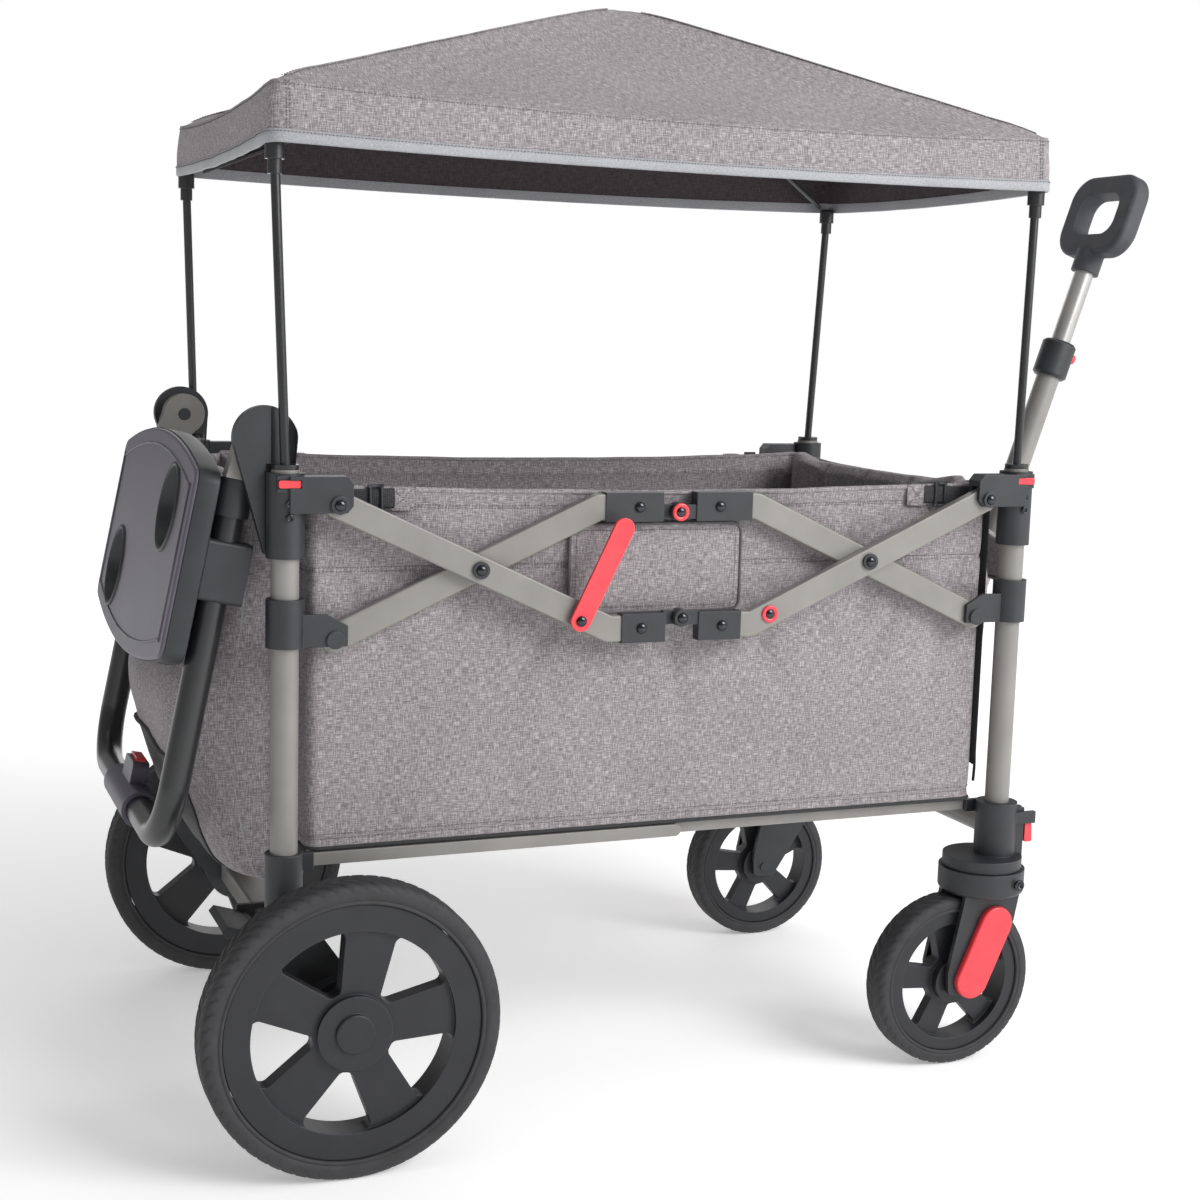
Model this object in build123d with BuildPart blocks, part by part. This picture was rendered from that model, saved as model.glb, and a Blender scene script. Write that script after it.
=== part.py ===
from build123d import *
from math import atan2, cos, degrees, hypot, radians, sin, tan
import os

os.makedirs("parts", exist_ok=True)

# A folding wagon. X runs forward to the pull handle, Y to the left, Z up from the floor.
# Millimetres throughout. Widths called y are measured out from the middle plane, and each
# side piece is built on the right-hand side and mirrored.

# frame
post_spacing = 848.0
post_width = 503.0
post_radius = 14.0
post_wall = 1.6
post_top = 702.0
rear_post_bottom = 264.0
front_post_bottom = 256.0
collar_wall = 5.0

# fits
fit_gap = 0.25
pin_gap = 0.05
free_gap = 0.5
slide_gap = 0.4

# scissor sides: two layers of bars, crossed halfway up the tub
bar_height = 28.0
bar_thickness = 12.0
bar_wall = 1.5
bar_edge = 2.0
inner_bar_y = post_width / 2 - 8.5
layer_gap = 2.0
scissor_centre_z = 600.5
cross_inset = 197.5
bracket_pin_inset = 49.0
bracket_pin_rise = 68.0
hinge_pin_rise = 56.0
stub_rise_top = 61.5
stub_rise_bottom = 65.5
pin_radius = 4.0
rivet_head_radius = 9.0
rivet_head_height = 3.0
rivet_tail_height = 1.5
top_box_length = 66.0
bottom_box_length = 50.0
hinge_box_near = 19.5
hinge_box_height = 31.0
hinge_box_wall = 1.6
knuckle_radius = 9.5

# top brackets and sliders
bracket_low = 615.0
bracket_high = 699.0
bracket_cheek = 5.0
bracket_cheek_length = 14.0
bracket_cheek_half = 17.0
slider_height = 48.6
slider_cheek = 5.0

# bottom rails
rail_height = 13.0
rail_thickness = 11.0
rail_wall = 1.5
rail_z = 303.0
rail_outer_y = post_width / 2 - 10.5
rail_step = 14.0
rail_pin_inset = 24.0
knee_x = -24.0
rail_pin_radius = 3.5

# soft goods
tub_length = post_spacing - 48.0
tub_width = post_width - 25.0
tub_bottom = 310.2
tub_top = 686.0
tub_wall = 3.5
tub_corner = 16.0
board_thickness = 5.0
canopy_length = post_spacing + 50.0
canopy_width = post_width + 33.0
canopy_edge_z = 1010.0
valance_height = 62.0
canopy_peak_z = 1212.0
canopy_peak_x = 20.0
canopy_wall = 3.0

# rear wheels and axle
rear_wheel_radius = 152.4
rear_wheel_x = -post_spacing / 2 + 52.0
rear_wheel_y = post_width / 2 + 73.0
rear_tyre_width = 40.6
rear_rim_radius = rear_wheel_radius - 21.4
rear_window_radius = rear_rim_radius - 27.0
rear_hub_radius = 38.0
rear_axle_radius = 8.0
axle_tube_width = 40.0
axle_tube_height = 26.0
axle_tube_end = post_width / 2 - 5.5

tyre_gap = 0.3
rim_inset = 3.0

# casters
front_wheel_radius = 101.4
front_tyre_width = 38.0
front_rim_radius = front_wheel_radius - 17.4
front_window_radius = front_rim_radius - 14.0
front_hub_radius = 26.0
caster_trail = 39.0
caster_offset = 16.0
caster_disc_radius = 46.0
foot_disc_z = 235.0
foot_disc_height = 13.5
fork_crown_low = 205.5
fork_leg_thickness = 6.0
caster_axle_radius = 6.0

# push handle
handle_pivot_x = -post_spacing / 2 - 18.0
handle_pivot_z = 732.0
handle_tilt = 11.5
handle_tube_radius = 15.0
handle_leg_y = post_width / 2 - 36.5
handle_top_z = 690.0
handle_bottom_z = 322.0
handle_bend = 60.0
handle_pass_x = -post_spacing / 2 - 41.5
handle_pass_z = 682.3
tray_half_width = post_width / 2 - 16.5
tray_height = 186.0
tray_bulge = 28.0
tray_thickness = 26.0
tray_gap = 3.5
tray_centre_z = 599.0
cup_radius = 43.0
cup_depth = 22.0
tray_wall = 4.0
cup_spread = 124.0
cup_offset = 47.0

# pull handle
pull_pivot_x = 464.4
pull_pivot_z = 290.0
pull_tilt = 18.8
pull_lower_radius = 15.0
pull_upper_radius = 12.5
pull_collar_low = 541.0
pull_collar_high = 588.0
pull_upper_end = 706.0
pull_upper_start = 400.0
grip_width = 135.0
grip_height = 108.0
grip_bar = 26.0

# values worked out from the ones above
half_spacing = post_spacing / 2
half_width = post_width / 2
collar_radius = post_radius + collar_wall
pin_x = half_spacing - bracket_pin_inset
bracket_pin_z = scissor_centre_z + bracket_pin_rise
slider_pin_z = scissor_centre_z - bracket_pin_rise
top_pin_z = scissor_centre_z + hinge_pin_rise
bottom_pin_z = scissor_centre_z - hinge_pin_rise
cross_x = half_spacing - cross_inset
outer_bar_y = inner_bar_y + bar_thickness + layer_gap
inner_bar_out = inner_bar_y + bar_thickness
outer_bar_out = outer_bar_y + bar_thickness
bar_slope = bracket_pin_rise / (pin_x - cross_x)


def side_plane(y):
    # forward and up on the sheet, and extrusions run outwards on the right-hand side
    return Plane(origin=(0, -y, 0), x_dir=(1, 0, 0), z_dir=(0, -1, 0))


def disc(x, z, y_in, y_out, radius, bore=0.0, mode=Mode.ADD):
    # a round piece across the wagon
    with BuildSketch(side_plane(y_in)) as face:
        with Locations((x, z)):
            Circle(radius)
            if bore:
                Circle(bore, mode=Mode.SUBTRACT)
    extrude(face.sketch, amount=y_out - y_in, mode=mode)


def plate(points, y_in, y_out, corner=0.0, mode=Mode.ADD):
    # a flat piece standing lengthwise
    with BuildSketch(side_plane(y_in)) as face:
        Polygon(*points, align=None)
        if corner:
            fillet(face.vertices(), corner)
    extrude(face.sketch, amount=y_out - y_in, mode=mode)


def block(x_low, x_high, y_in, y_out, z_low, z_high, mode=Mode.ADD):
    corners = [(x_low, z_low), (x_high, z_low), (x_high, z_high), (x_low, z_high)]
    plate(corners, y_in, y_out, mode=mode)


def strip(points, width, y_in, y_out, mode=Mode.ADD):
    # a bar of round-ended runs along a bent line
    with BuildSketch(side_plane(y_in)) as face:
        for (x0, z0), (x1, z1) in zip(points, points[1:]):
            turn = degrees(atan2(z1 - z0, x1 - x0))
            with Locations(((x0 + x1) / 2, (z0 + z1) / 2)):
                SlotCenterToCenter(hypot(x1 - x0, z1 - z0), width, rotation=turn)
    extrude(face.sketch, amount=y_out - y_in, mode=mode)


def upright(x, y, z_low, z_high, radius, bore=0.0, mode=Mode.ADD):
    with BuildSketch(Plane.XY.offset(z_low)) as face:
        with Locations((x, y)):
            Circle(radius)
            if bore:
                Circle(bore, mode=Mode.SUBTRACT)
    extrude(face.sketch, amount=z_high - z_low, mode=mode)


def rod(start, end, radius, bore=0.0, mode=Mode.ADD):
    # a straight round bar or tube between two points
    run = Vector(*end) - Vector(*start)
    with BuildSketch(Plane(origin=start, z_dir=run)) as face:
        Circle(radius)
        if bore:
            Circle(bore, mode=Mode.SUBTRACT)
    extrude(face.sketch, amount=run.length, mode=mode)


# posts
with BuildPart() as rear_posts:
    upright(-half_spacing, -half_width, rear_post_bottom, post_top, post_radius, post_radius - post_wall)
    mirror(about=Plane.XZ)
rear_posts.part.label = "rear_posts"

with BuildPart() as front_posts:
    upright(half_spacing, -half_width, front_post_bottom, post_top, post_radius, post_radius - post_wall)
    mirror(about=Plane.XZ)
front_posts.part.label = "front_posts"


# top brackets: a collar on the post with two cheeks that hold the end of an outer bar
cheek_tip = pin_x - bracket_cheek_length
cheek_inner_y = outer_bar_y - free_gap - bracket_cheek
cheek_outer_y = outer_bar_out + free_gap
button_z = 689.0
button_width = 22.0
button_height = 7.5
button_thickness = 5.0
button_travel = 2.0
button_face_y = half_width + collar_radius + 2.6


def top_bracket(end):
    # end is -1 at the rear posts and 1 at the front posts
    post_x = end * half_spacing
    upright(post_x, -half_width, bracket_low, bracket_high, collar_radius)
    cheek_low = bracket_pin_z - bracket_cheek_half + 9.0
    cheek_high = bracket_pin_z + bracket_cheek_half + 11.0
    cheek = [
        (post_x, cheek_low), (end * (cheek_tip + 6), cheek_low), (end * cheek_tip, cheek_low + 7),
        (end * cheek_tip, cheek_high - 7), (end * (cheek_tip + 6), cheek_high), (post_x, cheek_high),
    ]
    plate(cheek, cheek_inner_y, cheek_inner_y + bracket_cheek)
    plate(cheek, cheek_outer_y, cheek_outer_y + bracket_cheek)
    web_low = bracket_pin_z + bar_height / 2 + free_gap
    web = [(post_x, web_low), (end * cheek_tip, web_low), (end * cheek_tip, cheek_high - 7),
           (end * (cheek_tip + 6), cheek_high), (post_x, cheek_high)]
    plate(web, cheek_inner_y, cheek_outer_y + bracket_cheek)
    block(min(post_x - 12, post_x + 12), max(post_x - 12, post_x + 12),
          half_width, button_face_y - button_thickness / 2, button_z - 8, button_z + 8)
    disc(end * pin_x, bracket_pin_z, cheek_inner_y, cheek_outer_y + bracket_cheek, pin_radius)
    disc(end * pin_x, bracket_pin_z, cheek_outer_y + bracket_cheek,
         cheek_outer_y + bracket_cheek + rivet_head_height, rivet_head_radius)
    upright(post_x, -half_width, bracket_low - 1, bracket_high + 1, post_radius + fit_gap,
            mode=Mode.SUBTRACT)
    block(post_x - button_width / 2 - fit_gap, post_x + button_width / 2 + fit_gap,
          button_face_y - button_thickness - button_travel - fit_gap, button_face_y + 20,
          button_z - button_height / 2 - fit_gap, button_z + button_height / 2 + fit_gap,
          mode=Mode.SUBTRACT)
    for drop in (19.0, 33.0):
        disc(post_x, button_z - drop, half_width + post_radius + 1, half_width + collar_radius + 1.8, 4.2)


with BuildPart() as rear_top_brackets:
    top_bracket(-1)
    mirror(about=Plane.XZ)
rear_top_brackets.part.label = "rear_top_brackets"

with BuildPart() as front_top_brackets:
    top_bracket(1)
    mirror(about=Plane.XZ)
front_top_brackets.part.label = "front_top_brackets"


def canopy_button(end, side):
    # side is -1 on the right-hand side and 1 on the left
    with BuildPart() as button:
        with BuildSketch(Plane.XZ.offset(button_face_y - button_thickness)):
            with Locations((end * half_spacing, button_z)):
                RectangleRounded(button_width, button_height, 2.0)
        extrude(amount=button_thickness)
        if side > 0:
            mirror(about=Plane.XZ, mode=Mode.REPLACE)
    return button


rear_right_canopy_button = canopy_button(-1, -1)
rear_right_canopy_button.part.label = "rear_right_canopy_button"
rear_left_canopy_button = canopy_button(-1, 1)
rear_left_canopy_button.part.label = "rear_left_canopy_button"
front_right_canopy_button = canopy_button(1, -1)
front_right_canopy_button.part.label = "front_right_canopy_button"
front_left_canopy_button = canopy_button(1, 1)
front_left_canopy_button.part.label = "front_left_canopy_button"


# sliders: collars that run on the posts and carry the ends of the inner bars
def slider(end):
    post_x = end * half_spacing
    low = slider_pin_z + 17.5 - slider_height / 2
    upright(post_x, -half_width, low, low + slider_height, collar_radius)
    plate_y = inner_bar_out + free_gap
    tip = end * (pin_x - 13.0)
    cheek = [(post_x, low), (tip, low), (tip, slider_pin_z + 14), (end * (pin_x + 8), slider_pin_z + 26),
             (post_x, slider_pin_z + 26)]
    plate(cheek, plate_y, plate_y + slider_cheek)
    disc(end * pin_x, slider_pin_z, inner_bar_y - 1.5, plate_y + slider_cheek, pin_radius)
    disc(end * pin_x, slider_pin_z, plate_y + slider_cheek, plate_y + slider_cheek + rivet_head_height,
         rivet_head_radius)
    upright(post_x, -half_width, low - 1, low + slider_height + 1, post_radius + slide_gap,
            mode=Mode.SUBTRACT)


with BuildPart() as rear_sliders:
    slider(-1)
    mirror(about=Plane.XZ)
rear_sliders.part.label = "rear_sliders"

with BuildPart() as front_sliders:
    slider(1)
    mirror(about=Plane.XZ)
front_sliders.part.label = "front_sliders"


# side bars: straight from the outer pin through the crossing, then level into the hinge box
def side_bar(end, rises, y_in, cross_bore):
    outer_z = scissor_centre_z - rises * bracket_pin_rise
    stub_rise = stub_rise_top if rises > 0 else stub_rise_bottom
    stub_z = scissor_centre_z + rises * stub_rise
    bend_x = cross_x - stub_rise / bar_slope
    stub_end = hinge_box_near + bar_height
    line = [(end * pin_x, outer_z), (end * bend_x, stub_z), (end * stub_end, stub_z)]
    strip(line, bar_height, y_in, y_in + bar_thickness)
    flat = edges().filter_by(GeomType.LINE).filter_by(Axis.Y, reverse=True)
    fillet(flat, bar_edge)
    hollow = [(end * pin_x, outer_z), (end * bend_x, stub_z), (end * stub_end, stub_z)]
    strip(hollow, bar_height - 2 * bar_wall - 3, y_in + bar_wall, y_in + bar_thickness - bar_wall,
          Mode.SUBTRACT)
    disc(end * pin_x, outer_z, y_in + 1, y_in + bar_thickness - 1, 8.0)
    disc(end * cross_x, scissor_centre_z, y_in + 1, y_in + bar_thickness - 1, 8.0)
    disc(end * pin_x, outer_z, y_in - 1, y_in + bar_thickness + 1, pin_radius + pin_gap, mode=Mode.SUBTRACT)
    disc(end * cross_x, scissor_centre_z, y_in - 1, y_in + bar_thickness + 1, cross_bore,
         mode=Mode.SUBTRACT)


with BuildPart() as side_bars_a:
    side_bar(-1, 1, inner_bar_y, pin_radius + pin_gap)
    mirror(about=Plane.XZ)
side_bars_a.part.label = "side_bars_a"

with BuildPart() as side_bars_b:
    side_bar(-1, -1, outer_bar_y, pin_radius + fit_gap)
    mirror(about=Plane.XZ)
side_bars_b.part.label = "side_bars_b"

with BuildPart() as side_bars_c:
    side_bar(1, 1, inner_bar_y, pin_radius + pin_gap)
    mirror(about=Plane.XZ)
side_bars_c.part.label = "side_bars_c"

with BuildPart() as side_bars_d:
    side_bar(1, -1, outer_bar_y, pin_radius + fit_gap)
    mirror(about=Plane.XZ)
side_bars_d.part.label = "side_bars_d"


# hinge boxes at mid length: each half takes a bar's end and has one of the two knuckles
def hinge_half(end, rises, y_in, knuckle_in):
    pin_z = scissor_centre_z + rises * hinge_pin_rise
    stub_z = scissor_centre_z + rises * (stub_rise_top if rises > 0 else stub_rise_bottom)
    half = hinge_box_height / 2
    near = end * hinge_box_near
    far = end * (hinge_box_near + (top_box_length if rises > 0 else bottom_box_length))
    box_in = y_in - hinge_box_wall
    box_out = y_in + bar_thickness + hinge_box_wall
    if rises < 0:
        box_in = y_in - layer_gap / 2
    block(min(near, far), max(near, far), box_in, box_out, stub_z - half, stub_z + half)
    low = y_in if knuckle_in else y_in + bar_thickness / 2 + fit_gap
    high = low + bar_thickness / 2 - fit_gap
    disc(0, pin_z, low, high, knuckle_radius)
    arm = [(0, pin_z - knuckle_radius * 0.8), (near, pin_z - knuckle_radius * 0.8),
           (near, pin_z + knuckle_radius * 0.8), (0, pin_z + knuckle_radius * 0.8)]
    plate(arm, low, high)
    bar_half = bar_height / 2 + fit_gap
    stub_end = end * (hinge_box_near + bar_height / 2 - fit_gap)
    block(min(stub_end, far + end), max(stub_end, far + end), y_in - fit_gap,
          y_in + bar_thickness + fit_gap, stub_z - bar_half, stub_z + bar_half, mode=Mode.SUBTRACT)


def hinge_pin(rises, y_in):
    # the pin stands on the rear half's inner knuckle and runs in the front half's
    pin_z = scissor_centre_z + rises * hinge_pin_rise
    disc(0, pin_z, y_in, y_in + bar_thickness + 2, pin_radius)
    disc(0, pin_z, y_in + bar_thickness + 0.4, y_in + bar_thickness + 2.4, rivet_head_radius)


hinge_bore = pin_radius + 0.35

with BuildPart() as rear_top_hinge:
    hinge_half(-1, 1, inner_bar_y, True)
    hinge_pin(1, inner_bar_y)
    mirror(about=Plane.XZ)
rear_top_hinge.part.label = "rear_top_hinge"

with BuildPart() as front_top_hinge:
    hinge_half(1, 1, inner_bar_y, False)
    disc(0, top_pin_z, inner_bar_y, outer_bar_out, pin_radius + pin_gap, mode=Mode.SUBTRACT)
    mirror(about=Plane.XZ)
front_top_hinge.part.label = "front_top_hinge"


def cross_rivet(end):
    # the rivet at the crossing, through both layers of bars
    disc(end * cross_x, scissor_centre_z, inner_bar_y - rivet_tail_height, outer_bar_out + 1, pin_radius)
    disc(end * cross_x, scissor_centre_z, inner_bar_y - rivet_tail_height, inner_bar_y - fit_gap,
         rivet_head_radius - 2)
    disc(end * cross_x, scissor_centre_z, outer_bar_out + fit_gap, outer_bar_out + rivet_head_height,
         rivet_head_radius)


lever_pivot_x = -119.0
lever_pivot_z = 546.0
lever_tip_x = -73.0
lever_tip_z = 642.0
lever_width = 22.0
lever_y = outer_bar_out + 6.0
lever_thickness = 4.0

with BuildPart() as rear_bottom_hinge:
    hinge_half(-1, -1, outer_bar_y, True)
    hinge_pin(-1, outer_bar_y)
    cross_rivet(-1)
    mirror(about=Plane.XZ)
    disc(lever_pivot_x, lever_pivot_z, outer_bar_out + fit_gap, lever_y - fit_gap, 9.0)
    disc(lever_pivot_x, lever_pivot_z, lever_y - 1, lever_y + lever_thickness + 1, pin_radius)
rear_bottom_hinge.part.label = "rear_bottom_hinge"

with BuildPart() as front_bottom_hinge:
    hinge_half(1, -1, outer_bar_y, False)
    disc(0, bottom_pin_z, outer_bar_y, outer_bar_out + 1, hinge_bore, mode=Mode.SUBTRACT)
    cross_rivet(1)
    mirror(about=Plane.XZ)
front_bottom_hinge.part.label = "front_bottom_hinge"

with BuildPart() as fold_lever:
    lever_line = [(lever_pivot_x, lever_pivot_z), (lever_tip_x, lever_tip_z)]
    strip(lever_line, lever_width, lever_y, lever_y + lever_thickness)
    disc(lever_pivot_x, lever_pivot_z, lever_y - 1, lever_y + lever_thickness + 1, pin_radius + pin_gap,
         mode=Mode.SUBTRACT)
fold_lever.part.label = "fold_lever"


# bottom rails: they lie under the tub and knee upwards as the wagon folds
rail_inner_y = rail_outer_y - rail_step
rail_pin_x = half_spacing - rail_pin_inset


def rail(x_from, x_to, y_out, y_in):
    strip([(x_from, rail_z), (x_to, rail_z)], rail_height, y_in, y_out)
    strip([(x_from, rail_z), (x_to, rail_z)], rail_height - 2 * rail_wall, y_in + rail_wall,
          y_out - rail_wall, Mode.SUBTRACT)
    for x in (x_from, x_to):
        disc(x, rail_z, y_in + 1, y_out - 1, rail_height / 2 - 0.5)


rail_reach = 38.0

with BuildPart() as rear_rails:
    rail(-rail_pin_x, knee_x + rail_reach, rail_outer_y, rail_outer_y - rail_thickness)
    disc(knee_x, rail_z, rail_inner_y - rail_thickness - 1.5, rail_outer_y - 1, rail_pin_radius)
    disc(-rail_pin_x, rail_z, rail_inner_y - 1, rail_outer_y + 1, rail_pin_radius + pin_gap,
         mode=Mode.SUBTRACT)
    mirror(about=Plane.XZ)
rear_rails.part.label = "rear_rails"

with BuildPart() as front_rails:
    rail(knee_x, rail_pin_x, rail_inner_y, rail_inner_y - rail_thickness)
    for pivot_x in (knee_x, rail_pin_x):
        disc(pivot_x, rail_z, rail_inner_y - rail_thickness - 1, rail_inner_y + 1,
             rail_pin_radius + pin_gap, mode=Mode.SUBTRACT)
    mirror(about=Plane.XZ)
front_rails.part.label = "front_rails"


# rear axle: a tube across the wagon, castings up to the posts, and shafts for the wheels
wheel_inner_y = rear_wheel_y - rear_tyre_width / 2
rear_cap_y = rear_wheel_y + rear_tyre_width / 2
casting_out = wheel_inner_y - 4.0
rear_wheel_z = rear_wheel_radius

with BuildPart() as rear_axle_tube:
    with BuildSketch(side_plane(-axle_tube_end)):
        with Locations((rear_wheel_x, rear_wheel_z)):
            RectangleRounded(axle_tube_width, axle_tube_height, 4.0)
            RectangleRounded(axle_tube_width - 4, axle_tube_height - 4, 2.5, mode=Mode.SUBTRACT)
    extrude(amount=2 * axle_tube_end)
rear_axle_tube.part.label = "rear_axle_tube"

pedal_pin_x = rear_wheel_x - 34.0
pedal_pin_z = rear_wheel_z + 4.0
pedal_half = 42.0

with BuildPart() as rear_axle_castings:
    post_x = -half_spacing
    upright(post_x, -half_width, rear_post_bottom - 8, rear_post_bottom + 52, collar_radius)
    upper = [(post_x - 17, rear_post_bottom - 4), (post_x + 15, rear_post_bottom - 4),
             (rear_wheel_x + 30, rear_wheel_z + 12), (rear_wheel_x + 22, rear_wheel_z - 24),
             (rear_wheel_x - 24, rear_wheel_z - 24), (post_x - 22, rear_wheel_z + 52)]
    plate(upper, axle_tube_end + fit_gap, axle_tube_end + 26, corner=5.0)
    disc(rear_wheel_x, rear_wheel_z, axle_tube_end + fit_gap, casting_out - 14, 36.0)
    disc(rear_wheel_x, rear_wheel_z, casting_out - 14, casting_out, 22.0)
    disc(rear_wheel_x, rear_wheel_z, casting_out - 1, rear_cap_y - rim_inset - 2, rear_axle_radius)
    lug_x = -rail_pin_x
    block(post_x, lug_x + 8, rail_outer_y + free_gap, rail_outer_y + 6, rail_z - 9, rail_z + 9)
    disc(lug_x, rail_z, rail_outer_y - rail_thickness - 1.5, rail_outer_y + 5, rail_pin_radius)
    upright(post_x, -half_width, rear_post_bottom, rear_post_bottom + 60, post_radius + fit_gap,
            mode=Mode.SUBTRACT)
    block(rear_wheel_x - 40, rear_wheel_x + 14, pedal_half + 1, pedal_half + 7, rear_wheel_z + 13 + fit_gap,
          rear_wheel_z + 19)
    block(pedal_pin_x - 7, rear_wheel_x - axle_tube_width / 2 - fit_gap, pedal_half + 1, pedal_half + 7,
          pedal_pin_z - 9, rear_wheel_z + 19)
    mirror(about=Plane.XZ)
    disc(pedal_pin_x, pedal_pin_z, -pedal_half - 3, pedal_half + 3, pin_radius)
rear_axle_castings.part.label = "rear_axle_castings"


with BuildPart() as brake_pedal:
    disc(pedal_pin_x, pedal_pin_z, -pedal_half, pedal_half, 8.0)
    tread = [(pedal_pin_x, pedal_pin_z + 7.5), (pedal_pin_x - 34, pedal_pin_z + 18),
             (pedal_pin_x - 40, pedal_pin_z + 12), (pedal_pin_x - 36, pedal_pin_z + 5),
             (pedal_pin_x, pedal_pin_z - 7.5)]
    plate(tread, -pedal_half, pedal_half)
    disc(pedal_pin_x, pedal_pin_z, -pedal_half - 2, pedal_half + 2, pin_radius + pin_gap,
         mode=Mode.SUBTRACT)
brake_pedal.part.label = "brake_pedal"


# wheels: a solid tread ring on a rim with five windows, and a domed cap over the hub
window_corner = 7.0


def tyre(side, x, y, radius, width, rim_radius):
    with BuildPart() as ring:
        with BuildSketch(Plane.XY.offset(radius)) as section:
            with Locations((x + (radius + rim_radius) / 2, side * y)):
                Rectangle(radius - rim_radius, width)
            fillet(section.vertices().group_by(Axis.X)[-1], width * 0.22)
        revolve(axis=Axis((x, 0, radius), (0, 1, 0)))
    return ring


def wheel_rim(side, x, y, wheel_radius, width, rim_radius, window_radius, hub_radius, bore, narrow, wide):
    y_in, y_out = y - width / 2 + rim_inset, y + width / 2 - rim_inset
    web = (y_out - y_in) * 0.3
    with BuildPart() as rim:
        disc(x, wheel_radius, y_in, y_out, rim_radius - tyre_gap, window_radius)
        disc(x, wheel_radius, y_in + web, y_out - web / 2, window_radius + 1)
        disc(x, wheel_radius, y_in, y_out + 1, hub_radius)
        with BuildSketch(side_plane(y_in)) as windows:
            with Locations((x, wheel_radius)):
                Circle(window_radius)
                Circle(hub_radius + 4, mode=Mode.SUBTRACT)
                with PolarLocations(0, 5, start_angle=80):
                    Polygon((0, -narrow / 2), (window_radius + 4, -wide / 2), (window_radius + 4, wide / 2),
                            (0, narrow / 2), align=None, mode=Mode.SUBTRACT)
            fillet(windows.vertices(), window_corner)
        extrude(windows.sketch, amount=y_out - y_in, mode=Mode.SUBTRACT)
        disc(x, wheel_radius, y_out + 1, y_out + 5, hub_radius * 0.54)
        fillet(faces().sort_by(Axis.Y)[0].edges(), 2.5)
        disc(x, wheel_radius, y_in - 1, y_out - 1, bore, mode=Mode.SUBTRACT)
        if side > 0:
            mirror(about=Plane.XZ, mode=Mode.REPLACE)
    return rim


def rear_wheel(side):
    tread = tyre(side, rear_wheel_x, rear_wheel_y, rear_wheel_radius, rear_tyre_width, rear_rim_radius)
    rim = wheel_rim(side, rear_wheel_x, rear_wheel_y, rear_wheel_radius, rear_tyre_width, rear_rim_radius,
                    rear_window_radius, rear_hub_radius, rear_axle_radius + pin_gap, 33.0, 54.0)
    return tread, rim


rear_right_tyre, rear_right_rim = rear_wheel(-1)
rear_right_tyre.part.label = "rear_right_tyre"
rear_right_rim.part.label = "rear_right_rim"
rear_left_tyre, rear_left_rim = rear_wheel(1)
rear_left_tyre.part.label = "rear_left_tyre"
rear_left_rim.part.label = "rear_left_rim"


# casters: the fork turns under the foot on an upright stem, with the wheel trailing behind
swivel_x = half_spacing - caster_offset
front_wheel_x = swivel_x - caster_trail
front_wheel_z = front_wheel_radius
leg_gap = 3.0
leg_inner_near = half_width - front_tyre_width / 2 - leg_gap
leg_outer_near = half_width + front_tyre_width / 2 + leg_gap
leg_outer_far = leg_outer_near + fork_leg_thickness
stem_radius = 9.0
fork_disc_radius = 50.0
fork_top = foot_disc_z - free_gap
slide_direction = (-0.402, -0.916)
brake_plate_y = leg_outer_far + free_gap
brake_plate_thickness = 7.0


def caster_fork(side):
    with BuildPart() as fork:
        upright(swivel_x, -half_width, fork_crown_low, fork_top, fork_disc_radius)
        fillet(faces().sort_by(Axis.Z)[0].edges(), 6.0)
        leg = [(swivel_x - 36, fork_crown_low + 8), (swivel_x + 38, fork_crown_low + 8),
               (swivel_x + 30, fork_crown_low - 34), (front_wheel_x + 15, front_wheel_z - 13),
               (front_wheel_x - 15, front_wheel_z - 13), (front_wheel_x - 17, front_wheel_z + 14)]
        plate(leg, leg_inner_near - fork_leg_thickness, leg_inner_near, corner=7.0)
        plate(leg, leg_outer_near, leg_outer_far, corner=7.0)
        disc(front_wheel_x, front_wheel_z, leg_inner_near - fork_leg_thickness - 2, leg_outer_far,
             caster_axle_radius)
        upright(swivel_x, -half_width, fork_crown_low + 4, fork_top + 1, stem_radius + pin_gap,
                mode=Mode.SUBTRACT)
        if side > 0:
            mirror(about=Plane.XZ, mode=Mode.REPLACE)
    return fork


def front_wheel(side):
    tread = tyre(side, front_wheel_x, half_width, front_wheel_radius, front_tyre_width, front_rim_radius)
    with BuildPart() as rim:
        y_in = half_width - front_tyre_width / 2 + rim_inset
        y_out = half_width + front_tyre_width / 2 - rim_inset
        disc(front_wheel_x, front_wheel_z, y_in, y_out, front_rim_radius - tyre_gap, front_window_radius)
        disc(front_wheel_x, front_wheel_z, y_in + 9, y_out - 9, front_window_radius + 1)
        disc(front_wheel_x, front_wheel_z, y_in - 2, y_out + 2, front_hub_radius)
        with BuildSketch(side_plane(y_in)) as windows:
            with Locations((front_wheel_x, front_wheel_z)):
                Circle(front_window_radius)
                Circle(front_hub_radius + 5, mode=Mode.SUBTRACT)
                with PolarLocations(0, 5, start_angle=100):
                    Polygon((0, -11), (front_window_radius + 4, -15), (front_window_radius + 4, 15),
                            (0, 11), align=None, mode=Mode.SUBTRACT)
            fillet(windows.vertices(), 5.0)
        extrude(windows.sketch, amount=y_out - y_in, mode=Mode.SUBTRACT)
        disc(front_wheel_x, front_wheel_z, y_in - 3, y_out + 3, caster_axle_radius + pin_gap,
             mode=Mode.SUBTRACT)
        if side > 0:
            mirror(about=Plane.XZ, mode=Mode.REPLACE)
    return tread, rim


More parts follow.
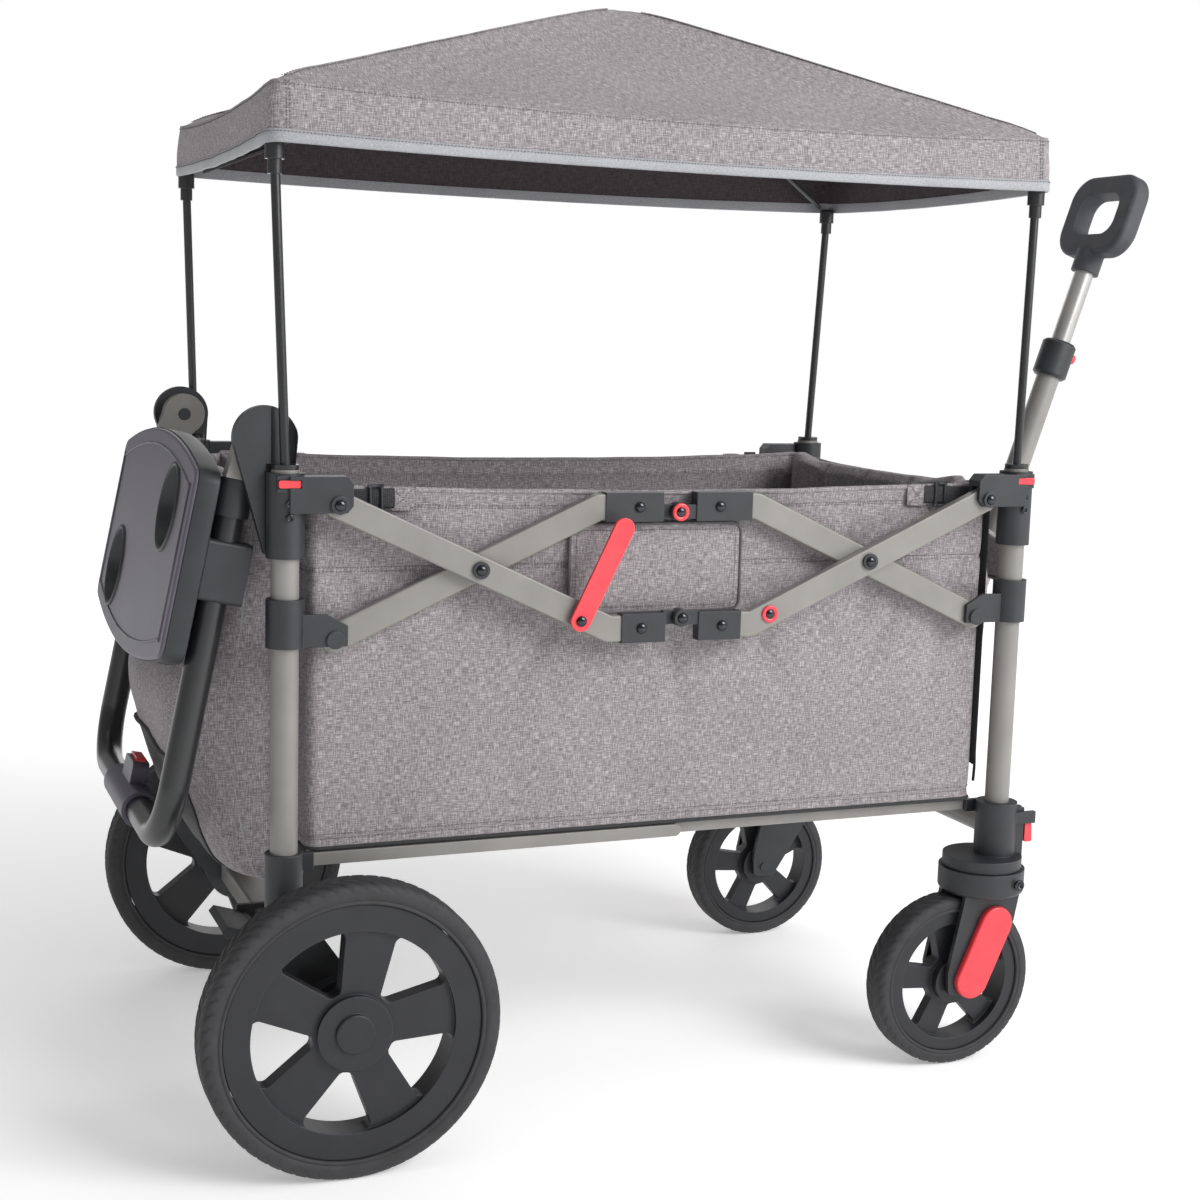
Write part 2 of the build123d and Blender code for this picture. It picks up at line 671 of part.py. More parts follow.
def caster_brake(side):
    # a plate on the outer leg that slides down onto the wheel
    with BuildPart() as brake:
        top = (swivel_x + 3.0, fork_crown_low - 34.0)
        low = (top[0] + 72 * slide_direction[0], top[1] + 72 * slide_direction[1])
        strip([top, low], 42.0, brake_plate_y, brake_plate_y + brake_plate_thickness)
        fillet(faces().sort_by(Axis.Y)[0].edges(), 2.5)
        if side > 0:
            mirror(about=Plane.XZ, mode=Mode.REPLACE)
    return brake


right_caster_fork = caster_fork(-1)
right_caster_fork.part.label = "right_caster_fork"
left_caster_fork = caster_fork(1)
left_caster_fork.part.label = "left_caster_fork"
front_right_tyre, front_right_rim = front_wheel(-1)
front_right_tyre.part.label = "front_right_tyre"
front_right_rim.part.label = "front_right_rim"
front_left_tyre, front_left_rim = front_wheel(1)
front_left_tyre.part.label = "front_left_tyre"
front_left_rim.part.label = "front_left_rim"
right_caster_brake = caster_brake(-1)
right_caster_brake.part.label = "right_caster_brake"
left_caster_brake = caster_brake(1)
left_caster_brake.part.label = "left_caster_brake"


# front feet: sockets for the posts, with the casters' stems below and a latch in front
foot_top = 311.0
foot_radius = 24.0
latch_hinge_x = half_spacing + 39.0
latch_hinge_z = 291.0
latch_half = 11.0

with BuildPart() as front_sockets:
    upright(half_spacing, -half_width, foot_disc_z + 6, foot_top, foot_radius)
    upright(swivel_x, -half_width, foot_disc_z, foot_disc_z + foot_disc_height, caster_disc_radius)
    block(half_spacing - 10, half_spacing + 32, half_width - latch_half, half_width + latch_half,
          foot_disc_z + 10, foot_top - 8)
    for wall in (half_width - latch_half - 6, half_width + latch_half + 0.5):
        block(half_spacing + 8, latch_hinge_x + 5, wall, wall + 5.5, latch_hinge_z - 6, latch_hinge_z + 8)
    disc(latch_hinge_x, latch_hinge_z, half_width - latch_half - 6, half_width + latch_half + 6, 2.5)
    block(rail_pin_x - 6, half_spacing, rail_inner_y + free_gap, rail_inner_y + 6, rail_z - 8,
          rail_z + rail_height / 2)
    upright(half_spacing, -half_width, front_post_bottom, foot_top + 1, post_radius + fit_gap,
            mode=Mode.SUBTRACT)
    upright(swivel_x, -half_width, fork_crown_low + 5, foot_disc_z + 1, stem_radius)
    mirror(about=Plane.XZ)


def foot_latch(side):
    with BuildPart() as latch:
        face = latch_hinge_x - 5.5
        outline = [(face + 1, latch_hinge_z + 4), (latch_hinge_x + 4, latch_hinge_z + 4),
                   (latch_hinge_x + 6, foot_disc_z + 26), (face + 1, foot_disc_z + 26)]
        plate(outline, half_width - latch_half + 0.3, half_width + latch_half - 0.3, corner=2.0)
        disc(latch_hinge_x, latch_hinge_z, half_width - latch_half, half_width + latch_half, 2.5 + pin_gap,
             mode=Mode.SUBTRACT)
        if side > 0:
            mirror(about=Plane.XZ, mode=Mode.REPLACE)
    return latch


right_foot_latch = foot_latch(-1)
right_foot_latch.part.label = "right_foot_latch"
left_foot_latch = foot_latch(1)
left_foot_latch.part.label = "left_foot_latch"

cross_tube_x = half_spacing + 6.0
cross_tube_z = 276.0
cross_tube_radius = 12.5
cross_tube_end = half_width - foot_radius - 0.6
clevis_in = pull_lower_radius + 0.6

with BuildPart() as front_crossbar:
    disc(cross_tube_x, cross_tube_z, -cross_tube_end, cross_tube_end, cross_tube_radius,
         cross_tube_radius - post_wall)
front_crossbar.part.label = "front_crossbar"

with BuildPart() as front_feet:
    cheek = [(cross_tube_x - 17, cross_tube_z - 17), (cross_tube_x + 17, cross_tube_z - 17),
             (pull_pivot_x + 12, pull_pivot_z - 8), (pull_pivot_x + 12, pull_pivot_z + 12),
             (cross_tube_x - 10, cross_tube_z + 22)]
    plate(cheek, clevis_in, clevis_in + 8, corner=5.0)
    disc(cross_tube_x, cross_tube_z, -1, clevis_in + 8, cross_tube_radius + 4)
    mirror(about=Plane.XZ)
    disc(cross_tube_x, cross_tube_z, -40, 40, cross_tube_radius + fit_gap, mode=Mode.SUBTRACT)
    disc(pull_pivot_x, pull_pivot_z, -clevis_in - 9, clevis_in + 9, 5.0)
    add(front_sockets.part)
front_feet.part.label = "front_feet"


# push handle: a U of tube hung from two round housings behind the rear posts
tilt = radians(handle_tilt)
handle_up = (sin(tilt), 0, cos(tilt))
handle_out = (-cos(tilt), 0, sin(tilt))
housing_in = handle_leg_y + handle_tube_radius + 4.8
housing_out = half_width - 5.8
housing_radius = 32.0
handle_boss_radius = 24.0
sleeve_radius = 18.4
sleeve_low_z = 653.0
clamp_height = 62.0


def handle_plane(z, out=0.0):
    # a plane across the handle: y of the sheet runs up the tubes, and its normal points rearwards
    x = handle_pass_x - tan(tilt) * (handle_pass_z - z)
    origin = (x + out * handle_out[0], 0, z + out * handle_out[2])
    return Plane(origin=origin, x_dir=(0, -1, 0), z_dir=handle_out)


def tube_point(z, y=0.0, out=0.0):
    x = handle_pass_x - tan(tilt) * (handle_pass_z - z)
    return (x + out * handle_out[0], -y, z + out * handle_out[2])


with BuildPart() as handle_joint_housings:
    disc(handle_pivot_x, handle_pivot_z, housing_in, housing_out, housing_radius)
    strut = [(handle_pivot_x - housing_radius + 0.3, handle_pivot_z - 4),
             (-half_spacing - collar_radius, 618), (-half_spacing, bracket_low), (-half_spacing + 8, 640),
             (handle_pivot_x + housing_radius - 0.6, handle_pivot_z - 6)]
    plate(strut, housing_in, housing_out)
    upright(-half_spacing, -half_width, bracket_low - 20, post_top + 5, collar_radius + fit_gap,
            mode=Mode.SUBTRACT)
    upright(-half_spacing, -half_width, post_top - 1, 790, post_radius + 0.4, mode=Mode.SUBTRACT)
    disc(handle_pivot_x, handle_pivot_z, handle_leg_y - 3, housing_in + 1, 7.0)
    mirror(about=Plane.XZ)
handle_joint_housings.part.label = "handle_joint_housings"

with BuildPart() as handle_arms:
    arm_in = handle_leg_y - 2
    arm_out = housing_in - free_gap
    disc(handle_pivot_x, handle_pivot_z, arm_in, arm_out, handle_boss_radius)
    foot_rear = tube_point(handle_top_z + 0.3, 0, handle_tube_radius)
    foot_front = tube_point(handle_top_z + 0.3, 0, -handle_tube_radius)
    arm = [(foot_rear[0], foot_rear[2]), (foot_front[0], foot_front[2]),
           (handle_pivot_x + handle_boss_radius - 2, handle_pivot_z - 8),
           (handle_pivot_x - handle_boss_radius, handle_pivot_z + 2)]
    plate(arm, arm_in, arm_out)
    disc(handle_pivot_x, handle_pivot_z, arm_in - 1, arm_out + 1, 7.0 + pin_gap, mode=Mode.SUBTRACT)
    mirror(about=Plane.XZ)
handle_arms.part.label = "handle_arms"

with BuildPart() as handle_tube:
    corner_y = handle_leg_y
    route = [tube_point(handle_top_z, corner_y), tube_point(handle_bottom_z, corner_y),
             tube_point(handle_bottom_z, -corner_y), tube_point(handle_top_z, -corner_y)]
    with BuildLine() as handle_line:
        FilletPolyline(*route, radius=handle_bend)
    with BuildSketch(Plane(origin=route[0], z_dir=(-handle_up[0], 0, -handle_up[2]))):
        Circle(handle_tube_radius)
        Circle(handle_tube_radius - post_wall, mode=Mode.SUBTRACT)
    sweep(path=handle_line.wires()[0])
handle_tube.part.label = "handle_tube"

with BuildPart() as handle_clamps:
    rod(tube_point(sleeve_low_z, handle_leg_y), tube_point(handle_top_z, handle_leg_y), sleeve_radius,
        handle_tube_radius + fit_gap)
    with BuildSketch(handle_plane(tray_centre_z, -26.0)):
        with Locations((handle_leg_y + 1, 0)):
            RectangleRounded(34.0, clamp_height, 5.0)
    extrude(amount=26.0 + handle_tube_radius + tray_gap - 0.2)
    rod(tube_point(handle_bottom_z + 80, handle_leg_y), tube_point(handle_top_z, handle_leg_y),
        handle_tube_radius + fit_gap, mode=Mode.SUBTRACT)
    mirror(about=Plane.XZ)
handle_clamps.part.label = "handle_clamps"

cup_places = [(cup_spread, cup_offset), (-cup_spread - 8, -cup_offset)]

with BuildPart() as tray:
    tray_back = handle_tube_radius + tray_gap
    with BuildSketch(handle_plane(tray_centre_z, tray_back)) as outline:
        with BuildLine():
            half = tray_height / 2
            Line((-tray_half_width, -half), (-tray_half_width, half))
            ThreePointArc((-tray_half_width, half), (0, half + tray_bulge), (tray_half_width, half))
            Line((tray_half_width, half), (tray_half_width, -half))
            ThreePointArc((tray_half_width, -half), (0, -half - tray_bulge), (-tray_half_width, -half))
        make_face()
        fillet(outline.vertices(), 16.0)
    extrude(amount=tray_thickness)
    fillet(faces().sort_by(Axis.X)[0].edges(), 3.0)
    with BuildSketch(handle_plane(tray_centre_z, tray_back + tray_thickness - cup_depth)):
        with Locations(*cup_places):
            Circle(cup_radius)
    extrude(amount=cup_depth + 10, mode=Mode.SUBTRACT)
    with BuildSketch(handle_plane(tray_centre_z, tray_back)):
        add(outline.sketch_local)
        offset(amount=-tray_wall, mode=Mode.REPLACE)
        with Locations(*cup_places):
            Circle(cup_radius + tray_wall, mode=Mode.SUBTRACT)
        Rectangle(tray_wall, tray_height, mode=Mode.SUBTRACT)
    extrude(amount=tray_thickness - tray_wall, mode=Mode.SUBTRACT)
tray.part.label = "tray"

cover_half = 70.0
cover_radius = 20.0
tongue_rise = 42.0
tongue_half = 27.0
handle_button_rise = 4.0

with BuildPart() as handle_center_cover:
    foot = tube_point(handle_bottom_z)
    disc(foot[0], foot[2], -cover_half, cover_half, cover_radius)
    with BuildSketch(handle_plane(handle_bottom_z, -9.0)):
        with Locations((0, tongue_rise / 2)):
            RectangleRounded(2 * tongue_half, tongue_rise, 6.0)
    extrude(amount=18.0)
    with BuildSketch(handle_plane(handle_bottom_z, -5.5)):
        with Locations((0, tongue_rise)):
            Rectangle(2 * tongue_half - 16 + 2 * fit_gap, 2 * 12.0)
    extrude(amount=11.0, mode=Mode.SUBTRACT)
    disc(foot[0], foot[2], -cover_half - 1, cover_half + 1, handle_tube_radius + fit_gap,
         mode=Mode.SUBTRACT)
handle_center_cover.part.label = "handle_center_cover"

with BuildPart() as handle_button:
    with BuildSketch(handle_plane(handle_bottom_z, -5.2)):
        with Locations((0, tongue_rise + handle_button_rise - 6)):
            RectangleRounded(2 * tongue_half - 16, 12.0, 3.0)
    extrude(amount=10.4)
handle_button.part.label = "handle_button"


# pull handle: two tubes that telescope, hinged low at the front
lean = radians(pull_tilt)
pull_up = (sin(lean), 0, cos(lean))
pull_out = (cos(lean), 0, -sin(lean))


def pull_point(along, out=0.0):
    x = pull_pivot_x + along * pull_up[0] + out * pull_out[0]
    return (x, 0, pull_pivot_z + along * pull_up[2] + out * pull_out[2])


with BuildPart() as pull_lower_tube:
    disc(pull_pivot_x, pull_pivot_z, -pull_lower_radius, pull_lower_radius, pull_lower_radius - 0.5)
    rod(pull_point(0), pull_point(pull_collar_low + 19), pull_lower_radius)
    rod(pull_point(24), pull_point(pull_collar_low + 20), pull_upper_radius + pin_gap, mode=Mode.SUBTRACT)
    disc(pull_pivot_x, pull_pivot_z, -20, 20, 5.0 + pin_gap, mode=Mode.SUBTRACT)
pull_lower_tube.part.label = "pull_lower_tube"

collar_outer = 22.0
collar_button_along = 573.0
collar_button_depth = 6.0

with BuildPart() as pull_collar:
    rod(pull_point(pull_collar_low), pull_point(pull_collar_high), collar_outer)
    chamfer(edges().filter_by(GeomType.CIRCLE), 3.0)
    rod(pull_point(pull_collar_low - 1), pull_point(pull_collar_low + 19.3), pull_lower_radius + fit_gap,
        mode=Mode.SUBTRACT)
    rod(pull_point(pull_collar_low + 18), pull_point(pull_collar_high + 1), pull_upper_radius + pin_gap,
        mode=Mode.SUBTRACT)
    with BuildSketch(Plane(origin=pull_point(collar_button_along, 15.5), x_dir=(0, 1, 0), z_dir=pull_out)):
        SlotCenterToCenter(8.0, 12.0 + 2 * fit_gap)
    extrude(amount=20, mode=Mode.SUBTRACT)
pull_collar.part.label = "pull_collar"

with BuildPart() as collar_button:
    seat = pull_point(collar_button_along, collar_outer + 2.5 - collar_button_depth)
    with BuildSketch(Plane(origin=seat, x_dir=(0, 1, 0), z_dir=pull_out)):
        SlotCenterToCenter(8.0, 12.0)
    extrude(amount=collar_button_depth)
collar_button.part.label = "collar_button"

with BuildPart() as pull_upper_tube:
    rod(pull_point(pull_upper_start), pull_point(pull_upper_end), pull_upper_radius,
        pull_upper_radius - post_wall)
pull_upper_tube.part.label = "pull_upper_tube"

with BuildPart() as pull_grip:
    middle = pull_upper_end + grip_height / 2
    with BuildSketch(Plane(origin=pull_point(middle, -grip_bar / 2), x_dir=(0, 1, 0), z_dir=pull_out)):
        RectangleRounded(grip_width, grip_height, 34.0)
    extrude(amount=grip_bar)
    fillet(edges(), 7.0)
    with BuildSketch(Plane(origin=pull_point(middle, -grip_bar), x_dir=(0, 1, 0), z_dir=pull_out)):
        RectangleRounded(grip_width - 2 * grip_bar, grip_height - 2 * grip_bar, 20.0)
    extrude(amount=2 * grip_bar, mode=Mode.SUBTRACT)
    rod(pull_point(pull_upper_end - 22), pull_point(pull_upper_end + 6), 18.0)
    rod(pull_point(pull_upper_end - 23), pull_point(pull_upper_end + 0.2), pull_upper_radius + fit_gap,
        mode=Mode.SUBTRACT)
pull_grip.part.label = "pull_grip"


# canopy poles: thin rods from the post tops to caps under the canopy's corners
pole_radius = 4.8
pole_foot_y = half_width
pole_head_x = 434.0
pole_head_y = 243.5
pole_head_z = 1003.0


def canopy_poles(end):
    upright(end * half_spacing, -half_width, post_top - 10, post_top + fit_gap,
            post_radius - post_wall - fit_gap)
    upright(end * half_spacing, -half_width, post_top + fit_gap, post_top + 5, post_radius - 0.5)
    rod((end * half_spacing, -pole_foot_y, post_top), (end * pole_head_x, -pole_head_y, pole_head_z),
        pole_radius)
    upright(end * pole_head_x, -pole_head_y, pole_head_z - 18, pole_head_z - 4, 7.0)
    upright(end * pole_head_x, -pole_head_y, pole_head_z - 4, pole_head_z + 14, 9.5)
    fillet(faces().sort_by(Axis.Z)[-1].edges(), 3.0)
    mirror(about=Plane.XZ)


with BuildPart() as rear_canopy_poles:
    canopy_poles(-1)
rear_canopy_poles.part.label = "rear_canopy_poles"

with BuildPart() as front_canopy_poles:
    canopy_poles(1)
front_canopy_poles.part.label = "front_canopy_poles"


# canopy: an upright valance below a hollow roof that rises to a rounded peak
ridge_z = canopy_edge_z + valance_height
waist_z = (ridge_z + canopy_peak_z) / 2


def canopy_solid(inset, drop):
    # inset brings the walls in, drop lowers the roof
    bottom = (canopy_edge_z - (1 if inset else 0), canopy_length / 2 - inset, canopy_width / 2 - inset, 0)
    fold = (ridge_z - drop, canopy_length / 2 - 5 - inset, canopy_width / 2 - 8 - inset, 0)
    waist = (waist_z - drop, canopy_length * 0.24 - inset, canopy_width * 0.23 - inset, canopy_peak_x / 2)
    peak = (canopy_peak_z - drop, 30.0 - inset, 20.0 - inset, canopy_peak_x)
    for lower, upper in ((bottom, fold), (fold, waist), (waist, peak)):
        sections = []
        for z, half_x, half_y, x in (lower, upper):
            with BuildSketch(Plane.XY.offset(z)) as section:
                with Locations((x, 0)):
                    Rectangle(2 * half_x, 2 * half_y)
            sections.append(section.sketch)
        loft(sections, ruled=True)


with BuildPart(mode=Mode.PRIVATE) as canopy_hollow:
    canopy_solid(canopy_wall, canopy_wall + 2)

with BuildPart() as canopy_fabric:
    canopy_solid(0.0, 0.0)
    add(canopy_hollow.part, mode=Mode.SUBTRACT)
canopy_fabric.part.label = "canopy_fabric"

with BuildPart() as canopy_ribs:
    hub_z = canopy_peak_z - 26.0
    for end in (-1, 1):
        rod((end * (pole_head_x - 18), -pole_head_y + 12, pole_head_z + 16), (canopy_peak_x, -2, hub_z),
            2.8)
    mirror(about=Plane.XZ)
    upright(canopy_peak_x, 0, hub_z - 6, hub_z + 6, 15.0)
canopy_ribs.part.label = "canopy_ribs"


# tub, floor board, rear bag and front pocket
with BuildPart() as tub_fabric:
    with BuildSketch(Plane.XY.offset(tub_bottom)):
        RectangleRounded(tub_length, tub_width, tub_corner)
    extrude(amount=tub_top - tub_bottom)
    with BuildSketch(Plane.XY.offset(tub_bottom + tub_wall)):
        RectangleRounded(tub_length - 2 * tub_wall, tub_width - 2 * tub_wall, tub_corner - tub_wall)
    extrude(amount=tub_top, mode=Mode.SUBTRACT)
tub_fabric.part.label = "tub_fabric"

with BuildPart() as floor_board:
    with BuildSketch(Plane.XY.offset(tub_bottom + tub_wall + fit_gap)):
        RectangleRounded(tub_length - 2 * tub_wall - 8, tub_width - 2 * tub_wall - 6, tub_corner - tub_wall)
    extrude(amount=board_thickness)
floor_board.part.label = "floor_board"

bag_half = 194.0
bag_front = -tub_length / 2 - 5.0

with BuildPart() as rear_bag:
    bag = [(bag_front, tub_bottom), (bag_front, 660), (bag_front - 26, tub_top + 2), (bag_front - 64, tub_top),
           (-506, 505), (-528, 470), (-534, 440), (-515, 383), (-495, 313), (-468, 267), (-430, 274)]
    plate(bag, -bag_half, bag_half, 6.0)
rear_bag.part.label = "rear_bag"

pocket_half = 172.0
pocket_back = tub_length / 2 + 4.0

with BuildPart() as front_pocket:
    pocket = [(pocket_back, 335), (pocket_back + 62, 345), (pocket_back + 84, 420), (pocket_back + 88, 520),
              (pocket_back + 96, 560), (pocket_back + 60, 606), (pocket_back, 640)]
    plate(pocket, -pocket_half, pocket_half, 8.0)
front_pocket.part.label = "front_pocket"


# the finished pieces, moved so that the origin is below the middle of the whole wagon
pieces = [
    rear_posts, rear_top_brackets, handle_joint_housings, rear_canopy_poles, rear_right_canopy_button,
    rear_left_canopy_button, rear_axle_castings, rear_axle_tube, brake_pedal,
    rear_right_tyre, rear_right_rim, rear_left_tyre, rear_left_rim,
    handle_arms, handle_clamps, handle_tube, handle_center_cover, handle_button, tray,
    side_bars_a, side_bars_b, side_bars_c, side_bars_d, rear_top_hinge, front_top_hinge,
    rear_bottom_hinge, front_bottom_hinge, fold_lever, rear_sliders, front_sliders, rear_rails, front_rails,
    front_posts, front_top_brackets, front_canopy_poles, front_right_canopy_button, front_left_canopy_button,
    front_feet, right_foot_latch, left_foot_latch, front_crossbar,
    right_caster_fork, left_caster_fork, front_right_tyre, front_right_rim, front_left_tyre, front_left_rim,
    right_caster_brake, left_caster_brake,
    pull_lower_tube, pull_collar, collar_button, pull_upper_tube, pull_grip,
    canopy_fabric, canopy_ribs, tub_fabric, floor_board, rear_bag, front_pocket,
]
boxes = [piece.part.bounding_box() for piece in pieces]
middle_x = (min(box.min.X for box in boxes) + max(box.max.X for box in boxes)) / 2
centre = Location((-middle_x, 0, -min(box.min.Z for box in boxes)))
for piece in pieces:
    label = piece.part.label
    placed = piece.part.moved(centre)
    placed.label = label
    export_step(placed, f"parts/{label}.step")
print(len(pieces), "pieces, moved by", round(centre.position.X, 2), "along X")
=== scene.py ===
import math
import random

import bpy
import numpy as np
from mathutils import Matrix, Vector, noise


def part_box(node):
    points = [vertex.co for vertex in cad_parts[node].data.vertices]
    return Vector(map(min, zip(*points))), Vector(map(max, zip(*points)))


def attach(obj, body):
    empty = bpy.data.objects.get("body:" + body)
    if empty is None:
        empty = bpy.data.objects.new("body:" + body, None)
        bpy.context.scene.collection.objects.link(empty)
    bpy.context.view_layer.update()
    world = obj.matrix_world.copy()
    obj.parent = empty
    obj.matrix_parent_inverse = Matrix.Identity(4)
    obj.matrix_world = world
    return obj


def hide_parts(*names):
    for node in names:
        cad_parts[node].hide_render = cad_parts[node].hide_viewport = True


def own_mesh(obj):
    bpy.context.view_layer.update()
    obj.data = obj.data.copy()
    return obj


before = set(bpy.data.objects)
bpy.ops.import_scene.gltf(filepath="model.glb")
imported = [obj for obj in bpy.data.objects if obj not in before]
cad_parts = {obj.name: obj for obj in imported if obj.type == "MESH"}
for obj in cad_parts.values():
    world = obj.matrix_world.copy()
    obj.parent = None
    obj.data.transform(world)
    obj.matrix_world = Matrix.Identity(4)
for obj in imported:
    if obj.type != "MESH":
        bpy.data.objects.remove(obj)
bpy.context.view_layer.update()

mm = 0.001
rightSide, leftSide = -1, 1


def middleOf(node):
    low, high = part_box(node)
    return (low + high) / 2


rearPostX = middleOf("rear_posts").x
frontPostX = middleOf("front_posts").x
wagonX = (rearPostX + frontPostX) / 2
print("frame loaded:", len(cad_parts), "nodes")


def at(x, y, z):
    # a place in millimetres from the middle of the wagon, at floor level
    return Vector((wagonX + x * mm, y * mm, z * mm))


# camera, light and floor
view = {
    "place": (-831.3, -2065.9, 844.9),
    "right": (0.92647, -0.37533, 0.02833),
    "up": (0.02735, 0.14219, 0.98944),
    "lens": 56.29,
}
lights = {
    "overhead": {"place": (200, -300, 3300), "aim": (0, 0, 500), "size": 3.2, "watts": 16},
    "cameraSide": {"place": (1900, -3000, 2500), "aim": (0, 0, 500), "size": 2.2, "watts": 130},
    "frontFill": {"place": (3200, -1900, 1500), "aim": (0, 0, 500), "size": 2.4, "watts": 18},
    "behind": {"place": (900, 3600, 1800), "aim": (0, 0, 500), "size": 2.8, "watts": 30},
}


def linear(hexColour):
    # sRGB hex to the linear values that shaders take
    parts = [int(hexColour[i:i + 2], 16) / 255 for i in (1, 3, 5)]
    return tuple(c / 12.92 if c <= 0.04045 else ((c + 0.055) / 1.055) ** 2.4 for c in parts) + (1.0,)


def addNode(tree, kind, settings=None, links=None):
    # settings are the node's options or sockets, links join its sockets to other nodes' outputs
    node = tree.nodes.new("ShaderNode" + kind)
    for key, value in (settings or {}).items():
        if isinstance(key, str) and hasattr(node, key):
            setattr(node, key, value)
        else:
            node.inputs[key].default_value = value
    for key, source in (links or {}).items():
        tree.links.new(source, node.inputs[key])
    return node


def setCamera():
    camera = bpy.data.objects.new("camera", bpy.data.cameras.new("camera"))
    bpy.context.scene.collection.objects.link(camera)
    right, up = Vector(view["right"]), Vector(view["up"])
    back = right.cross(up)
    turn = Matrix((right, up, back)).transposed().to_4x4()
    camera.matrix_world = Matrix.Translation(at(*view["place"])) @ turn
    camera.data.lens = view["lens"]
    camera.data.sensor_width = 36
    bpy.context.scene.camera = camera


def setLights():
    for name, light in lights.items():
        lamp = bpy.data.objects.new(name, bpy.data.lights.new(name, "AREA"))
        bpy.context.scene.collection.objects.link(lamp)
        lamp.data.size = light["size"]
        lamp.data.energy = light["watts"]
        lamp.location = at(*light["place"])
        aim = at(*light["aim"]) - lamp.location
        lamp.rotation_euler = aim.to_track_quat("-Z", "Y").to_euler()
    world = bpy.data.worlds.new("studio")
    world.use_nodes = True
    tree = world.node_tree
    seen = addNode(tree, "LightPath")
    strength = addNode(tree, "MapRange", {"To Min": 0.31, "To Max": 1.0},
                       {"Value": seen.outputs["Is Camera Ray"]})
    tree.links.new(strength.outputs["Result"], tree.nodes["Background"].inputs["Strength"])
    tree.nodes["Background"].inputs["Color"].default_value = linear("#ffffff")
    bpy.context.scene.world = world
    bpy.context.scene.view_settings.view_transform = "Standard"


def setFloor():
    mesh = bpy.data.meshes.new("studio_floor")
    half = 30.0
    corners = [(-half, -half, 0), (half, -half, 0), (half, half, 0), (-half, half, 0)]
    mesh.from_pydata(corners, [], [(0, 1, 2, 3)])
    floor = bpy.data.objects.new("studio_floor", mesh)
    bpy.context.scene.collection.objects.link(floor)
    # matt white acrylic lit from below, more so further out
    acrylic = bpy.data.materials.new("studioAcrylic")
    acrylic.use_nodes = True
    tree = acrylic.node_tree
    shader = tree.nodes["Principled BSDF"]
    cloud = addNode(tree, "TexNoise", {"Scale": 1.5, "Detail": 2.0})
    ramp = addNode(tree, "ValToRGB", {}, {"Fac": cloud.outputs["Fac"]})
    ramp.color_ramp.elements[0].color = linear("#f3f3f3")
    ramp.color_ramp.elements[1].color = linear("#f9f9f9")
    tree.links.new(ramp.outputs["Color"], shader.inputs["Base Color"])
    shader.inputs["Roughness"].default_value = 0.9
    shader.inputs["Emission Color"].default_value = linear("#ffffff")
    place = addNode(tree, "TexCoord").outputs["Object"]
    away = addNode(tree, "VectorMath", {"operation": "LENGTH"}, {0: place})
    glow = addNode(tree, "MapRange", {"From Min": 0.7, "From Max": 4.0, "To Min": 0.30, "To Max": 0.75},
                   {"Value": away.outputs["Value"]})
    tree.links.new(glow.outputs["Result"], shader.inputs["Emission Strength"])
    mesh.materials.append(acrylic)


setCamera()
setLights()
setFloor()
print("camera, lights and floor set")


# hard finishes
def hardFinish(name, look):
    # colour with faint mottling, a painted highlight in a paler tone on edges, fine grain, and softly rounded
    # corners
    material = bpy.data.materials.new(name)
    material.use_nodes = True
    tree = material.node_tree
    shader = tree.nodes["Principled BSDF"]
    shader.inputs["Metallic"].default_value = look.get("metallic", 0.0)
    shader.inputs["Coat Weight"].default_value = look.get("coat", 0.0)
    shader.inputs["Coat Roughness"].default_value = look.get("coatRoughness", 0.2)
    if "ior" in look:
        shader.inputs["IOR"].default_value = look["ior"]
    place = addNode(tree, "TexCoord").outputs["Object"]
    patches = addNode(tree, "TexNoise", {"Scale": 1 / (look["patch"] * mm), "Detail": 3.0}, {"Vector": place})
    mottle = addNode(tree, "ValToRGB", {}, {"Fac": patches.outputs["Fac"]})
    mottle.color_ramp.elements[0].position = 0.3
    mottle.color_ramp.elements[1].position = 0.7
    mottle.color_ramp.elements[0].color = linear(look["dark"])
    mottle.color_ramp.elements[1].color = linear(look["light"])
    softCorner = addNode(tree, "Bevel", {"samples": 6, "Radius": look["edge"] * mm})
    flat = addNode(tree, "NewGeometry")
    # painted highlight: where the rounded normal turns away from the flat one, at edges and corners, the colour is
    # mixed towards a paler tone
    agree = addNode(tree, "VectorMath", {"operation": "DOT_PRODUCT"},
                    {0: softCorner.outputs["Normal"], 1: flat.outputs["Normal"]})
    paintedEdgeHighlight = addNode(tree, "MapRange", {"From Min": 0.985, "From Max": 0.86, "To Min": 0.0, "To Max": look["paintedEdgeHighlightAmount"]},
                   {"Value": agree.outputs["Value"]})
    colour = addNode(tree, "Mix", {"data_type": "RGBA", 7: linear(look["paintedEdgeHighlight"])},
                     {0: paintedEdgeHighlight.outputs["Result"], 6: mottle.outputs["Color"]})
    tree.links.new(colour.outputs[2], shader.inputs["Base Color"])
    sheen = addNode(tree, "MapRange", {"To Min": look["rough"][0], "To Max": look["rough"][1]},
                    {"Value": patches.outputs["Fac"]})
    tree.links.new(sheen.outputs["Result"], shader.inputs["Roughness"])
    grain = addNode(tree, "TexNoise", {"Scale": 1 / (look["grain"] * mm), "Detail": 2.0}, {"Vector": place})
    bump = addNode(tree, "Bump", {"Strength": look["relief"], "Distance": 0.0004},
                   {"Height": grain.outputs["Fac"], "Normal": softCorner.outputs["Normal"]})
    tree.links.new(bump.outputs["Normal"], shader.inputs["Normal"])
    return material


